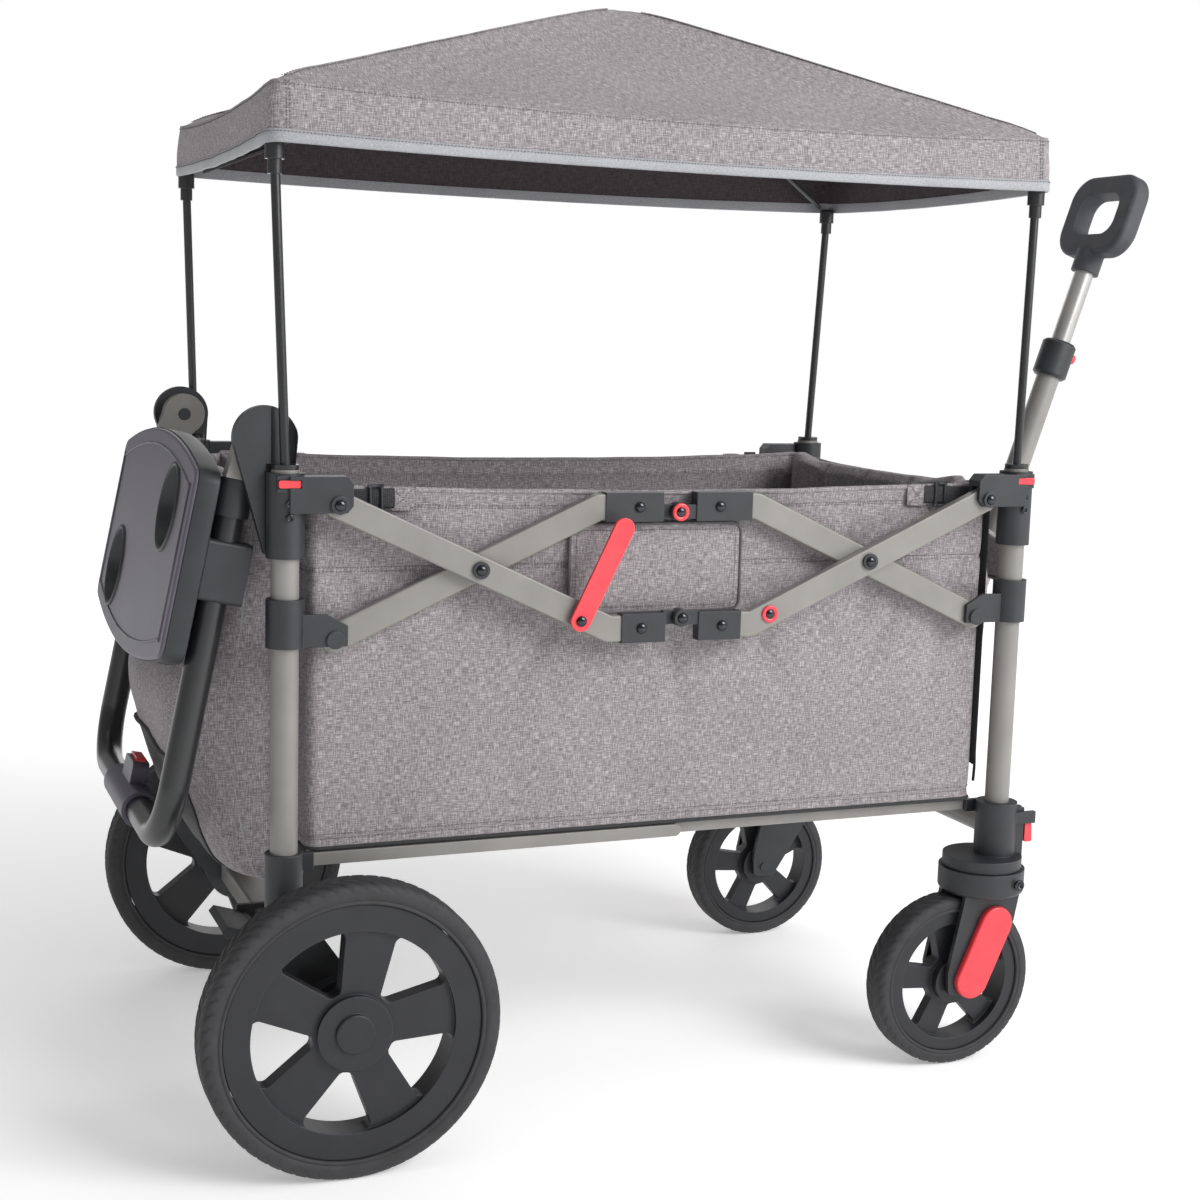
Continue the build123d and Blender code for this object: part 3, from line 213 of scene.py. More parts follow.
# each finish also gives the paler colour of its painted edge highlight and how strongly that is laid on
# powder-coated steel: warm grey, satin, with the faint orange peel of baked powder
powderCoatedSteel = hardFinish("powderCoatedSteel", {
    "dark": "#82807c", "light": "#8b8985", "paintedEdgeHighlight": "#b0aea9", "paintedEdgeHighlightAmount": 0.7, "patch": 45.0, "edge": 1.0,
    "rough": (0.38, 0.46), "grain": 1.6, "relief": 0.10, "metallic": 0.15, "coat": 0.05})
# black-painted tube: deep satin black with long soft highlights
blackPaintedTube = hardFinish("blackPaintedTube", {
    "dark": "#1d1e20", "light": "#242527", "paintedEdgeHighlight": "#3a3b3e", "paintedEdgeHighlightAmount": 0.5, "patch": 60.0, "edge": 0.8,
    "rough": (0.28, 0.36), "grain": 1.4, "relief": 0.08, "coat": 0.2})
# moulded nylon: charcoal black with a fine spark-eroded texture and a painted highlight on its corners
mouldedNylon = hardFinish("mouldedNylon", {
    "dark": "#232528", "light": "#2b2d31", "paintedEdgeHighlight": "#484b50", "paintedEdgeHighlightAmount": 0.75, "patch": 30.0, "edge": 1.1,
    "rough": (0.42, 0.52), "grain": 1.2, "relief": 0.22, "ior": 1.53})
# die-cast bracket alloy, painted grey
paintedCasting = hardFinish("paintedCasting", {
    "dark": "#2c2d30", "light": "#35373a", "paintedEdgeHighlight": "#55575b", "paintedEdgeHighlightAmount": 0.7, "patch": 25.0, "edge": 1.2,
    "rough": (0.45, 0.55), "grain": 1.5, "relief": 0.25})
# moulded ABS of the tray: dusty purple-grey with a silky surface
mouldedAbs = hardFinish("mouldedAbs", {
    "dark": "#4d4954", "light": "#57525e", "paintedEdgeHighlight": "#736e7a", "paintedEdgeHighlightAmount": 0.6, "patch": 60.0, "edge": 1.6,
    "rough": (0.40, 0.48), "grain": 1.0, "relief": 0.12, "ior": 1.54})
# signal-red ABS: bright, smooth and a little glossy
signalRedAbs = hardFinish("signalRedAbs", {
    "dark": "#e0343f", "light": "#f0434c", "paintedEdgeHighlight": "#ff7a7c", "paintedEdgeHighlightAmount": 0.55, "patch": 30.0, "edge": 1.2,
    "rough": (0.30, 0.38), "grain": 1.4, "relief": 0.05, "ior": 1.54, "coat": 0.1})
# foamed rubber: nearly black, dull and slightly dusty
foamedRubber = hardFinish("foamedRubber", {
    "dark": "#2b2a2c", "light": "#353437", "paintedEdgeHighlight": "#4d4c4f", "paintedEdgeHighlightAmount": 0.5, "patch": 18.0, "edge": 0.6,
    "rough": (0.62, 0.74), "grain": 1.4, "relief": 0.30, "ior": 1.52})
# moulded polypropylene of the wheel rims: black with a soft waxy sheen
mouldedRim = hardFinish("mouldedRim", {
    "dark": "#1d1e21", "light": "#242529", "paintedEdgeHighlight": "#414349", "paintedEdgeHighlightAmount": 0.8, "patch": 40.0, "edge": 1.6,
    "rough": (0.40, 0.50), "grain": 1.2, "relief": 0.16, "ior": 1.49})
# soft-touch grip rubber
softGrip = hardFinish("softGrip", {
    "dark": "#3a3b3f", "light": "#45464b", "paintedEdgeHighlight": "#5d5e63", "paintedEdgeHighlightAmount": 0.5, "patch": 15.0, "edge": 1.0,
    "rough": (0.60, 0.70), "grain": 1.0, "relief": 0.30})
# black-chromed steel of the rivets and screws: dark mirror with bright glints, partly reflected and partly a
# painted highlight on the rims
blackChrome = hardFinish("blackChrome", {
    "dark": "#3c3d40", "light": "#46474b", "paintedEdgeHighlight": "#8d8e92", "paintedEdgeHighlightAmount": 0.5, "patch": 6.0, "edge": 0.4,
    "rough": (0.12, 0.20), "grain": 1.0, "relief": 0.03, "metallic": 1.0})
# glass-fibre rod: dark resin with a slight gloss
glassFibreRod = hardFinish("glassFibreRod", {
    "dark": "#2a2a2c", "light": "#363638", "paintedEdgeHighlight": "#57575a", "paintedEdgeHighlightAmount": 0.4, "patch": 12.0, "edge": 0.4,
    "rough": (0.30, 0.40), "grain": 1.0, "relief": 0.10})

# anodised aluminium: pale silver, finely brushed
brushedAluminium = hardFinish("brushedAluminium", {
    "dark": "#a9a8a6", "light": "#b5b4b2", "paintedEdgeHighlight": "#cfcecc", "paintedEdgeHighlightAmount": 0.5, "patch": 40.0, "edge": 0.6,
    "rough": (0.30, 0.38), "grain": 0.9, "relief": 0.05, "metallic": 0.7})

nodeFinishes = {
    powderCoatedSteel: [
        "rear_posts", "front_posts", "side_bars_a", "side_bars_b", "side_bars_c", "side_bars_d", "rear_rails",
        "front_rails", "handle_arms", "pull_lower_tube", "front_crossbar", "rear_axle_tube"],
    blackPaintedTube: ["rear_canopy_poles", "front_canopy_poles", "handle_tube"],
    brushedAluminium: ["pull_upper_tube"],
    mouldedNylon: [
        "rear_top_brackets", "front_top_brackets", "rear_sliders", "front_sliders", "rear_top_hinge",
        "front_top_hinge", "rear_bottom_hinge", "front_bottom_hinge", "handle_joint_housings", "handle_clamps",
        "pull_collar", "front_feet", "right_caster_fork", "left_caster_fork", "brake_pedal"],
    paintedCasting: ["rear_axle_castings"],
    mouldedAbs: ["tray", "handle_center_cover"],
    signalRedAbs: [
        "rear_right_canopy_button", "rear_left_canopy_button", "front_right_canopy_button",
        "front_left_canopy_button", "fold_lever", "handle_button", "collar_button", "right_caster_brake",
        "left_caster_brake", "right_foot_latch", "left_foot_latch"],
    foamedRubber: ["rear_right_tyre", "rear_left_tyre", "front_right_tyre", "front_left_tyre"],
    mouldedRim: ["rear_right_rim", "rear_left_rim", "front_right_rim", "front_left_rim"],
    softGrip: ["pull_grip"],
    glassFibreRod: ["canopy_ribs"],
}
for finish, names in nodeFinishes.items():
    for name in names:
        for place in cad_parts[name].material_slots:
            place.material = finish
print("hard finishes given")


# cloth finishes
def clothFinish(name, look):
    # slubs run both ways along the threads of each panel, over a plain weave
    material = bpy.data.materials.new(name)
    material.use_nodes = True
    tree = material.node_tree
    shader = tree.nodes["Principled BSDF"]
    shader.inputs["Roughness"].default_value = look["rough"]
    shader.inputs["Sheen Weight"].default_value = look["sheen"]
    shader.inputs["Sheen Roughness"].default_value = 0.5
    threads = addNode(tree, "Attribute", {"attribute_name": "threads"}).outputs["Vector"]
    short, long = 1 / (look["slubWidth"] * mm), 1 / (look["slubLength"] * mm)
    streaks = []
    for scale, shift in (((short, long, 1), 0.0), ((long, short, 1), 7.0)):
        stretch = addNode(tree, "Mapping", {"Scale": scale, "Location": (shift, shift, shift)},
                          {"Vector": threads})
        slub = addNode(tree, "TexNoise", {"Scale": 1.0, "Detail": 2.5, "Roughness": 0.6},
                       {"Vector": stretch.outputs["Vector"]})
        streaks.append(slub.outputs["Fac"])
    both = addNode(tree, "Math", {"operation": "ADD"}, {0: streaks[0], 1: streaks[1]})
    half = addNode(tree, "Math", {"operation": "MULTIPLY", 1: 0.5}, {0: both.outputs[0]})
    tones = addNode(tree, "ValToRGB", {}, {"Fac": half.outputs[0]})
    ramp = tones.color_ramp
    ramp.elements[0].position, ramp.elements[0].color = 0.36, linear(look["dark"])
    ramp.elements[1].position, ramp.elements[1].color = 0.64, linear(look["light"])
    ramp.elements.new(0.5).color = linear(look["middle"])
    place = addNode(tree, "TexCoord").outputs["Object"]
    broad = addNode(tree, "TexNoise", {"Scale": 9.0, "Detail": 2.0}, {"Vector": place})
    shade = addNode(tree, "MapRange", {"From Min": 0.3, "From Max": 0.7, "To Min": 0.94, "To Max": 1.04},
                    {"Value": broad.outputs["Fac"]})
    grey = addNode(tree, "CombineColor", {}, {0: shade.outputs[0], 1: shade.outputs[0], 2: shade.outputs[0]})
    final = addNode(tree, "Mix", {"data_type": "RGBA", "blend_type": "MULTIPLY", 0: 1.0},
                    {6: tones.outputs["Color"], 7: grey.outputs["Color"]})
    tree.links.new(final.outputs[2], shader.inputs["Base Color"])
    weaves = []
    for direction in ("X", "Y"):
        wave = addNode(tree, "TexWave", {"bands_direction": direction, "Scale": 0.314 / (look["weave"] * mm)},
                       {"Vector": threads})
        weaves.append(wave.outputs["Fac"])
    weave = addNode(tree, "Math", {"operation": "MULTIPLY"}, {0: weaves[0], 1: weaves[1]})
    height = addNode(tree, "Math", {"operation": "ADD"}, {0: weave.outputs[0], 1: half.outputs[0]})
    bump = addNode(tree, "Bump", {"Strength": look["relief"], "Distance": 0.0005},
                   {"Height": height.outputs[0]})
    tree.links.new(bump.outputs["Normal"], shader.inputs["Normal"])
    return material


# woven polyester melange: mixed light and dark yarns, which read as short crossed streaks.
# The yarns are about 0.4 mm, drawn 1.1 mm wide so that they show.
polyesterMelange = clothFinish("polyesterMelange", {
    "dark": "#666064", "middle": "#8d878a", "light": "#bdb8b8", "rough": 0.88, "sheen": 0.12,
    "slubWidth": 1.1, "slubLength": 9.0, "weave": 1.2, "relief": 0.55})
# the inside of the canopy: the same cloth with a dark brown-charcoal coating
coatedLining = clothFinish("coatedLining", {
    "dark": "#342d2f", "middle": "#453c3f", "light": "#564d50", "rough": 0.8, "sheen": 0.05,
    "slubWidth": 1.5, "slubLength": 9.0, "weave": 1.6, "relief": 0.4})
# grosgrain binding tape: silver-grey with close cross ribs
grosgrainTape = clothFinish("grosgrainTape", {
    "dark": "#8c8d91", "middle": "#9c9da1", "light": "#abacb0", "rough": 0.6, "sheen": 0.2,
    "slubWidth": 1.2, "slubLength": 3.0, "weave": 1.4, "relief": 0.3})
# polypropylene webbing and zip tape: black with a coarse rib
blackWebbing = clothFinish("blackWebbing", {
    "dark": "#1c1c1e", "middle": "#262629", "light": "#333337", "rough": 0.7, "sheen": 0.1,
    "slubWidth": 1.2, "slubLength": 4.0, "weave": 2.0, "relief": 0.8})
# knitted mesh of the bag's pocket: charcoal yarn with open cells of about 1.5 mm, drawn 2.6 mm
knittedMesh = clothFinish("knittedMesh", {
    "dark": "#2b292b", "middle": "#3d3a3c", "light": "#5f5a5c", "rough": 0.75, "sheen": 0.1,
    "slubWidth": 2.6, "slubLength": 2.6, "weave": 2.6, "relief": 1.0})
# sewing thread: polyester, a shade darker than the cloth
sewingThread = clothFinish("sewingThread", {
    "dark": "#4e494c", "middle": "#5c575a", "light": "#6b6669", "rough": 0.7, "sheen": 0.1,
    "slubWidth": 0.8, "slubLength": 3.0, "weave": 1.0, "relief": 0.3})
print("cloth finishes made")


# mesh helpers
def gridFaces(rows, columns, closed=False, first=0):
    faces = []
    for i in range(rows - 1):
        for j in range(columns if closed else columns - 1):
            k = (j + 1) % columns
            faces.append((first + i * columns + j, first + i * columns + k,
                          first + (i + 1) * columns + k, first + (i + 1) * columns + j))
    return faces


def makePiece(name, points, faces, *finishes):
    mesh = bpy.data.meshes.new(name)
    mesh.from_pydata([tuple(p) for p in points], [], faces)
    mesh.polygons.foreach_set("use_smooth", [True] * len(mesh.polygons))
    for finish in finishes:
        mesh.materials.append(finish)
    piece = bpy.data.objects.new(name, mesh)
    bpy.context.scene.collection.objects.link(piece)
    return piece


def layThreads(piece):
    # each face corner learns its place across and along its panel, in metres
    mesh = piece.data
    values = []
    for face in mesh.polygons:
        sizes = [abs(n) for n in face.normal]
        axis = sizes.index(max(sizes))
        across, along = ((1, 2), (0, 2), (0, 1))[axis]
        for index in face.vertices:
            place = mesh.vertices[index].co
            values += [place[across], place[along], 0.0]
    threads = mesh.attributes.new("threads", "FLOAT_VECTOR", "CORNER")
    threads.data.foreach_set("vector", values)
    return piece


def thicken(piece, thickness, lining=False):
    # gives a sheet its two faces, the second one inwards
    solid = piece.modifiers.new("thickness", "SOLIDIFY")
    solid.thickness = thickness * mm
    solid.offset = -1.0
    solid.use_even_offset = False
    solid.material_offset = 1 if lining else 0
    return piece


def addShape(shape, points, faces):
    # adds points and faces to a growing pair of lists
    first = len(shape[0])
    shape[0].extend(points)
    shape[1].extend([tuple(first + i for i in face) for face in faces])


def tubeShape(line, radius, sides=8, closed=False, flat=1.0, up=Vector((0, 0, 1))):
    # a round or flattened tube along a line of points
    points, count = [], len(line)
    for i, place in enumerate(line):
        after = line[(i + 1) % count] if closed else line[min(i + 1, count - 1)]
        before = line[i - 1] if closed or i else line[0]
        ahead = (after - before).normalized()
        side = ahead.cross(up)
        if side.length < 0.05:
            side = ahead.cross(Vector((1, 0, 0)))
        side.normalize()
        over = side.cross(ahead)
        for k in range(sides):
            turn = 2 * math.pi * k / sides
            across, above = math.cos(turn) * radius * mm, math.sin(turn) * radius * flat * mm
            points.append(place + side * across + over * above)
    faces = []
    for i in range(count if closed else count - 1):
        j = (i + 1) % count
        for k in range(sides):
            m = (k + 1) % sides
            faces.append((i * sides + k, i * sides + m, j * sides + m, j * sides + k))
    if not closed:
        faces.append(tuple(range(sides)))
        faces.append(tuple((count - 1) * sides + k for k in reversed(range(sides))))
    return points, faces


def latheShape(profile, centre, axis, segments=28):
    # turns (radius, height) pairs in millimetres round an axis
    axis = Vector(axis).normalized()
    side = axis.orthogonal().normalized()
    other = axis.cross(side)
    points = []
    for radius, height in profile:
        for k in range(segments):
            turn = 2 * math.pi * k / segments
            spoke = side * math.cos(turn) + other * math.sin(turn)
            points.append(centre + spoke * radius * mm + axis * height * mm)
    faces = gridFaces(len(profile), segments, closed=True)
    faces.append(tuple(reversed(range(segments))))
    faces.append(tuple((len(profile) - 1) * segments + k for k in range(segments)))
    return points, faces


def stitchShape(line, outward, pitch=3.6, length=2.5, width=0.55, closed=False):
    # small raised grains of thread along a line, each lying on the cloth
    points, faces = [], []
    run, due = 0.0, pitch * mm / 2
    count = len(line)
    for i in range(count if closed else count - 1):
        start, end = line[i], line[(i + 1) % count]
        step = (end - start).length
        while due <= run + step and step > 0:
            place = start.lerp(end, (due - run) / step)
            ahead = (end - start).normalized() * length * mm / 2
            out = outward[i].normalized()
            side = ahead.cross(out).normalized() * width * mm
            lift = out * width * mm
            grain = [place - ahead, place + ahead, place - side, place + side, place + lift * 1.3,
                     place - lift]
            first = len(points)
            points.extend(grain)
            for a, b in ((0, 2), (2, 1), (1, 3), (3, 0)):
                faces.append((first + a, first + b, first + 4))
                faces.append((first + b, first + a, first + 5))
            due += pitch * mm
        run += step
    return points, faces


def smoothLine(points, rounds=3):
    # cuts the corners of an open outline until it is a curve
    for _ in range(rounds):
        cut = [points[0]]
        for a, b in zip(points, points[1:]):
            cut += [a.lerp(b, 0.25), a.lerp(b, 0.75)]
        cut.append(points[-1])
        points = cut
    return points


def evenly(points, count):
    # the same line with points at equal steps
    lengths = [0.0]
    for a, b in zip(points, points[1:]):
        lengths.append(lengths[-1] + (b - a).length)
    found, k = [], 0
    for i in range(count):
        want = lengths[-1] * i / (count - 1)
        while k < len(points) - 2 and lengths[k + 1] < want:
            k += 1
        share = (want - lengths[k]) / max(lengths[k + 1] - lengths[k], 1e-9)
        found.append(points[k].lerp(points[k + 1], min(1.0, share)))
    return found


def ripple(x, y, z, size, seed=0.0):
    # smooth noise from -1 to 1 with lumps of the given size in millimetres
    return noise.noise(Vector((x / size + seed, y / size - seed, z / size + 2 * seed)))


def near(value, middle, width):
    # 1 on a line, falling smoothly to 0 a few widths away
    return math.exp(-((value - middle) / width) ** 2)


def folding(piece):
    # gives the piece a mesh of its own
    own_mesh(piece)


def finishSoft(piece, body, *nodes):
    layThreads(piece)
    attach(piece, body)
    if nodes:
        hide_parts(*nodes)
    return piece


# the tub: a sewn band of cloth round the wagon, its hem, seams, pads and floor
tub = {
    "halfLength": 400.0, "halfWidth": 239.0, "corner": 16.0, "bottom": 311.0, "top": 686.0, "wall": 3.0,
    "columnStep": 6.0, "rowStep": 5.5, "hem": 20.0, "seam": 600.0, "sag": 9.0, "folds": 26,
    "bottomSeam": 322.0,
}


def boxOutline(halfX, halfY, corner, step):
    # (x, y, outward x, outward y) round a rectangle with round corners, to the left from the front right
    found = []
    sides = [((halfX, -halfY + corner), (halfX, halfY - corner), (1, 0)),
             ((halfX - corner, halfY), (-halfX + corner, halfY), (0, 1)),
             ((-halfX, halfY - corner), (-halfX, -halfY + corner), (-1, 0)),
             ((-halfX + corner, -halfY), (halfX - corner, -halfY), (0, -1))]
    for (x0, y0), (x1, y1), (nx, ny) in sides:
        count = max(2, round(math.hypot(x1 - x0, y1 - y0) / step))
        for k in range(count + 1):
            found.append((x0 + (x1 - x0) * k / count, y0 + (y1 - y0) * k / count, nx, ny))
        cx, cy = x1 - nx * corner, y1 - ny * corner
        for k in range(1, 5):
            turn = math.atan2(ny, nx) + k * math.pi / 10
            outX, outY = math.cos(turn), math.sin(turn)
            found.append((cx + outX * corner, cy + outY * corner, outX, outY))
    return found


def makeFolds(seed):
    # drag lines in the cloth: start, end, depth and width, mostly hanging from the fixings above
    draw = random.Random(seed)
    folds = []
    for _ in range(tub["folds"]):
        x, z = draw.uniform(-370, 370), draw.uniform(520, 655)
        lean = draw.choice((-1, 1)) * draw.uniform(0.3, 1.2)
        run = draw.uniform(50, 150)
        folds.append((x, z, x + math.sin(lean) * run, z - math.cos(lean) * run,
                      draw.uniform(1.2, 4.2), draw.uniform(5, 13)))
    for x, z, dx, dz in ((-330, 668, 110, -120), (-372, 600, 70, -90), (320, 668, -90, -140), (372, 640, -40, -190),
                         (-119, 560, -60, -90), (85, 560, 60, -110), (0, 540, 20, -120)):
        folds.append((x, z, x + dx, z + dz, 4.5, 11.0))
    return folds


foldSets = {(0, -1): makeFolds(3), (0, 1): makeFolds(8), (1, 0): makeFolds(14), (-1, 0): makeFolds(21)}


def foldDepth(along, z, folds):
    depth = 0.0
    for x0, z0, x1, z1, deep, wide in folds:
        dx, dz = x1 - x0, z1 - z0
        share = ((along - x0) * dx + (z - z0) * dz) / (dx * dx + dz * dz)
        if -0.15 < share < 1.15:
            off = abs((along - x0) * dz - (z - z0) * dx) / math.hypot(dx, dz)
            if off < 3 * wide:
                taper = math.sin(math.pi * min(1, max(0, (share + 0.15) / 1.3))) ** 0.7
                depth += deep * taper * math.exp(-(off / wide) ** 2)
    return depth


def tubPoint(x, y, nx, ny, z, proud=0.0):
    # where the wall of the tub really lies, a little inside its pattern, with folds and puckers
    key = (round(nx), 0) if abs(nx) > abs(ny) else (0, round(ny))
    along = y if key[0] else x
    straight = 1.0 if abs(nx * ny) < 0.01 else 0.25
    mid = max(0.0, min(1.0, (z - tub["bottom"]) / 40)) * max(0.0, min(1.0, (tub["top"] - z) / 12))
    inward = 1.0 + straight * mid * foldDepth(along, z, foldSets[key])
    inward += straight * mid * (1.6 + 2.2 * ripple(x, y, z, 95, 2.0) + 0.9 * ripple(x, y, z, 36, 5.0))
    for level, strength in ((tub["seam"], 1.0), (tub["top"] - tub["hem"], 0.8), (tub["bottomSeam"], 0.8)):
        inward += 1.1 * strength * near(z, level, 2.6)
        inward += 0.9 * strength * near(z, level, 13) * (1 + ripple(x, y, level, 9, 9.0))
    inward = max(0.0, inward) - proud
    rise = max(0.0, (z - 560) / (tub["top"] - 560)) ** 2
    reach = tub["halfLength"] if key[1] else tub["halfWidth"]
    drop = tub["sag"] * rise * (math.cos(along / reach * math.pi / 2) ** 0.7 if abs(along) < reach else 0)
    drop += rise * 2.0 * (0.5 + 0.5 * ripple(x, y, 0, 55, 4.0))
    return at(x - nx * inward, y - ny * inward, z - drop)


tubLoop = boxOutline(tub["halfLength"], tub["halfWidth"], tub["corner"], tub["columnStep"])


def makeTub():
    levels = list(np.arange(tub["bottom"], tub["top"] - 0.1, tub["rowStep"])) + [tub["top"]]
    for level in (tub["seam"], tub["top"] - tub["hem"], tub["bottomSeam"]):
        levels += [level - 1.5, level, level + 1.5]
    levels = sorted(set(levels))
    points = [tubPoint(*spot, z) for z in levels for spot in tubLoop]
    wall = makePiece("tub_wall", points, gridFaces(len(levels), len(tubLoop), closed=True), polyesterMelange)
    thicken(wall, tub["wall"])
    finishSoft(wall, "rear_frame", "tub_fabric")
    folding(wall)

    # the rolled hem stands over the cut edge
    hem, stitches = ([], []), ([], [])
    line = [tubPoint(*spot, tub["top"]) - Vector((spot[2], spot[3], 0)) * 1.3 * mm for spot in tubLoop]
    addShape(hem, *tubeShape(line, 2.9, sides=10, closed=True))
    out = [Vector((spot[2], spot[3], 0)) for spot in tubLoop]
    for level in (tub["top"] - tub["hem"], tub["top"] - tub["hem"] + 3, tub["seam"] + 2.2, tub["seam"] - 2.2,
                  tub["bottomSeam"], tub["bottomSeam"] + 5):
        line = [tubPoint(*spot, level, 0.25) for spot in tubLoop]
        addShape(stitches, *stitchShape(line, out, closed=True))
    for name, shape, finish in (("tub_hem", hem, polyesterMelange), ("tub_stitches", stitches, sewingThread)):
        folding(finishSoft(makePiece(name, *shape, finish), "rear_frame"))

    # corded piping round the bottom edge, and the cloth below the floor
    piping = ([], [])
    line = [at(x - nx * 1.5, y - ny * 1.5, tub["bottom"] + 1.5) for x, y, nx, ny in tubLoop]
    addShape(piping, *tubeShape(line, 2.2, sides=8, closed=True))
    folding(finishSoft(makePiece("tub_piping", *piping, blackWebbing), "rear_frame"))
    rows, columns = 40, 66
    points = []
    for i in range(rows):
        for j in range(columns):
            x = (j / (columns - 1) * 2 - 1) * (tub["halfLength"] - 3)
            y = (i / (rows - 1) * 2 - 1) * (tub["halfWidth"] - 3)
            points.append(at(x, y, tub["bottom"] + 1.2 + 0.6 * ripple(x, y, 0, 60)))
    under = makePiece("tub_bottom", points, gridFaces(rows, columns), polyesterMelange)
    thicken(under, 1.5)
    folding(finishSoft(under, "rear_frame"))


makeTub()
print("tub made")


# padded pieces: foam rolls at both ends and the stiffened floor mat
pads = {
    "rear_end_roll": {"low": (-394, -205, 604), "high": (-372, 205, 690), "cap": 9, "channels": 3, "axis": 1},
    "front_end_roll": {"low": (372, -205, 604), "high": (394, 205, 690), "cap": 9, "channels": 3, "axis": 1},
    "floor_mat": {"low": (-388, -228, 315.5), "high": (388, 228, 325.5), "cap": 5, "channels": 3, "axis": 0},
}


def padBlock(name, pad, voxel):
    # a closed block with eased edges, remeshed fine enough to swell
    low, high = at(*pad["low"]), at(*pad["high"])
    corners = [Vector((x, y, z)) for z in (low.z, high.z) for y in (low.y, high.y) for x in (low.x, high.x)]
    faces = [(0, 2, 3, 1), (4, 5, 7, 6), (0, 1, 5, 4), (2, 6, 7, 3), (0, 4, 6, 2), (1, 3, 7, 5)]
    piece = makePiece(name, corners, faces, polyesterMelange)
    ease = piece.modifiers.new("ease", "BEVEL")
    ease.width, ease.segments = 4 * mm, 3
    fine = piece.modifiers.new("fine", "REMESH")
    fine.mode, fine.voxel_size = "VOXEL", voxel * mm
    bpy.context.view_layer.update()
    shaped = bpy.data.meshes.new_from_object(piece.evaluated_get(bpy.context.evaluated_depsgraph_get()))
    piece.modifiers.clear()
    piece.data = shaped
    if not shaped.materials:
        shaped.materials.append(polyesterMelange)
    shaped.polygons.foreach_set("use_smooth", [True] * len(shaped.polygons))
    return piece


def puff(piece, cap):
    # swells the cover under air pressure without gravity, and keeps each point within the cap
    rest = np.array([v.co for v in piece.data.vertices])
    cloth = piece.modifiers.new("air", "CLOTH")
    cloth.settings.use_pressure = True
    cloth.settings.uniform_pressure_force = 4.0
    cloth.settings.effector_weights.gravity = 0.0
    scene = bpy.context.scene
    for step in range(1, 21):
        scene.frame_set(step)
    shown = piece.evaluated_get(bpy.context.evaluated_depsgraph_get()).to_mesh()
    moved = np.array([v.co for v in shown.vertices]) - rest
    piece.modifiers.remove(cloth)
    scene.frame_set(1)
    length = np.linalg.norm(moved, axis=1, keepdims=True)
    moved *= np.minimum(1.0, cap * mm / np.maximum(length, 1e-9))
    piece.data.vertices.foreach_set("co", (rest + moved).astype(np.float32).ravel())


def sewChannels(piece, pad):
    # draws the cover down to the middle along sewn lines across the pad
    low, high = at(*pad["low"]), at(*pad["high"])
    thin = min(range(3), key=lambda k: (high - low)[k])
    centre = (low + high) / 2
    for v in piece.data.vertices:
        pull = 0.0
        for k in range(1, pad["channels"] + 1):
            line = low[pad["axis"]] + (high - low)[pad["axis"]] * k / (pad["channels"] + 1)
            pull = max(pull, near(v.co[pad["axis"]], line, 6 * mm))
        v.co[thin] = centre[thin] + (v.co[thin] - centre[thin]) * (1 - 0.55 * pull)
        limit = (high - low)[thin] / 2 + 5 * mm
        v.co[thin] = max(centre[thin] - limit, min(centre[thin] + limit, v.co[thin]))


for name, pad in pads.items():
    piece = padBlock(name, pad, 6.0)
    puff(piece, pad["cap"])
    sewChannels(piece, pad)
    smooth = piece.modifiers.new("smooth", "SUBSURF")
    smooth.levels = smooth.render_levels = 1
    if name == "floor_mat":
        finishSoft(piece, "rear_frame", "floor_board")
    else:
        finishSoft(piece, "rear_frame")
    folding(piece)
print("pads made")


# canopy: one cloth roof with its valance, coated inside, bound along the bottom
canopy = {
    "bottom": 1010.0, "fold": 1070.0, "peak": 1210.0, "peakX": 20.0, "halfLength": 447.0, "halfWidth": 266.0,
    "corner": 20.0, "step": 9.0, "cornerLift": 5.0, "edgeSag": 8.0, "panelSag": 11.0, "binding": 12.0,
    "rings": 46, "round": 0.075, "roll": 0.09,
}
canopyLoop = boxOutline(canopy["halfLength"], canopy["halfWidth"], canopy["corner"], canopy["step"])


def cornerness(x, y):
    # 1 at a corner of the canopy and 0 halfway along a side
    alongX = abs(x) / canopy["halfLength"]
    alongY = abs(y) / canopy["halfWidth"]
    return max(0.0, min(alongX, alongY)) ** 2.2


def canopyPoint(x, y, nx, ny, ring, proud=0.0):
    # ring runs from -1 at the bottom of the valance through 0 at the fold to 1 at the peak
    lift = cornerness(x, y)
    if ring <= 0:
        low = canopy["bottom"] + canopy["cornerLift"] * lift
        high = canopy["fold"] - canopy["edgeSag"] * (1 - lift) + 3 * lift
        z = high + (high - low) * ring
        lean = 5.0 * (1 + ring) ** 2 + 1.2 * (1 + ripple(x, y, 0, 42, 3.0)) * -ring
        lean += 1.2 * (1 + ripple(x, y, z, 20, 6.0))
        out = proud - lean
        return at(x + nx * out, y + ny * out, z)
    q = 1 - ring
    soft = canopy["round"]
    climb = (math.sqrt(1 + soft ** 2) - math.sqrt(q * q + soft * soft)) / (math.sqrt(1 + soft ** 2) - soft)
    edge = canopy["fold"] - canopy["edgeSag"] * (1 - lift) + 3 * lift
    roll = min(1.0, ring / canopy["roll"])
    z = edge + (canopy["peak"] - edge) * climb + 7.0 * math.sin(math.pi / 2 * roll) * (1 - climb)
    sag = canopy["panelSag"] * math.sin(math.pi * q) ** 0.8 * (1 - lift)
    z -= sag + 2.6 * (0.5 + 0.5 * ripple(x * q, y * q, 0, 80, 1.0)) * q
    z -= 1.5 * q * (0.5 + 0.5 * ripple(x * q, y * q, 0, 26, 8.0))
    inset = 6.2 + 9.0 * (1 - math.cos(math.pi / 2 * roll))
    return at((x - nx * inset) * q + canopy["peakX"] * (1 - q), (y - ny * inset) * q, z + proud)


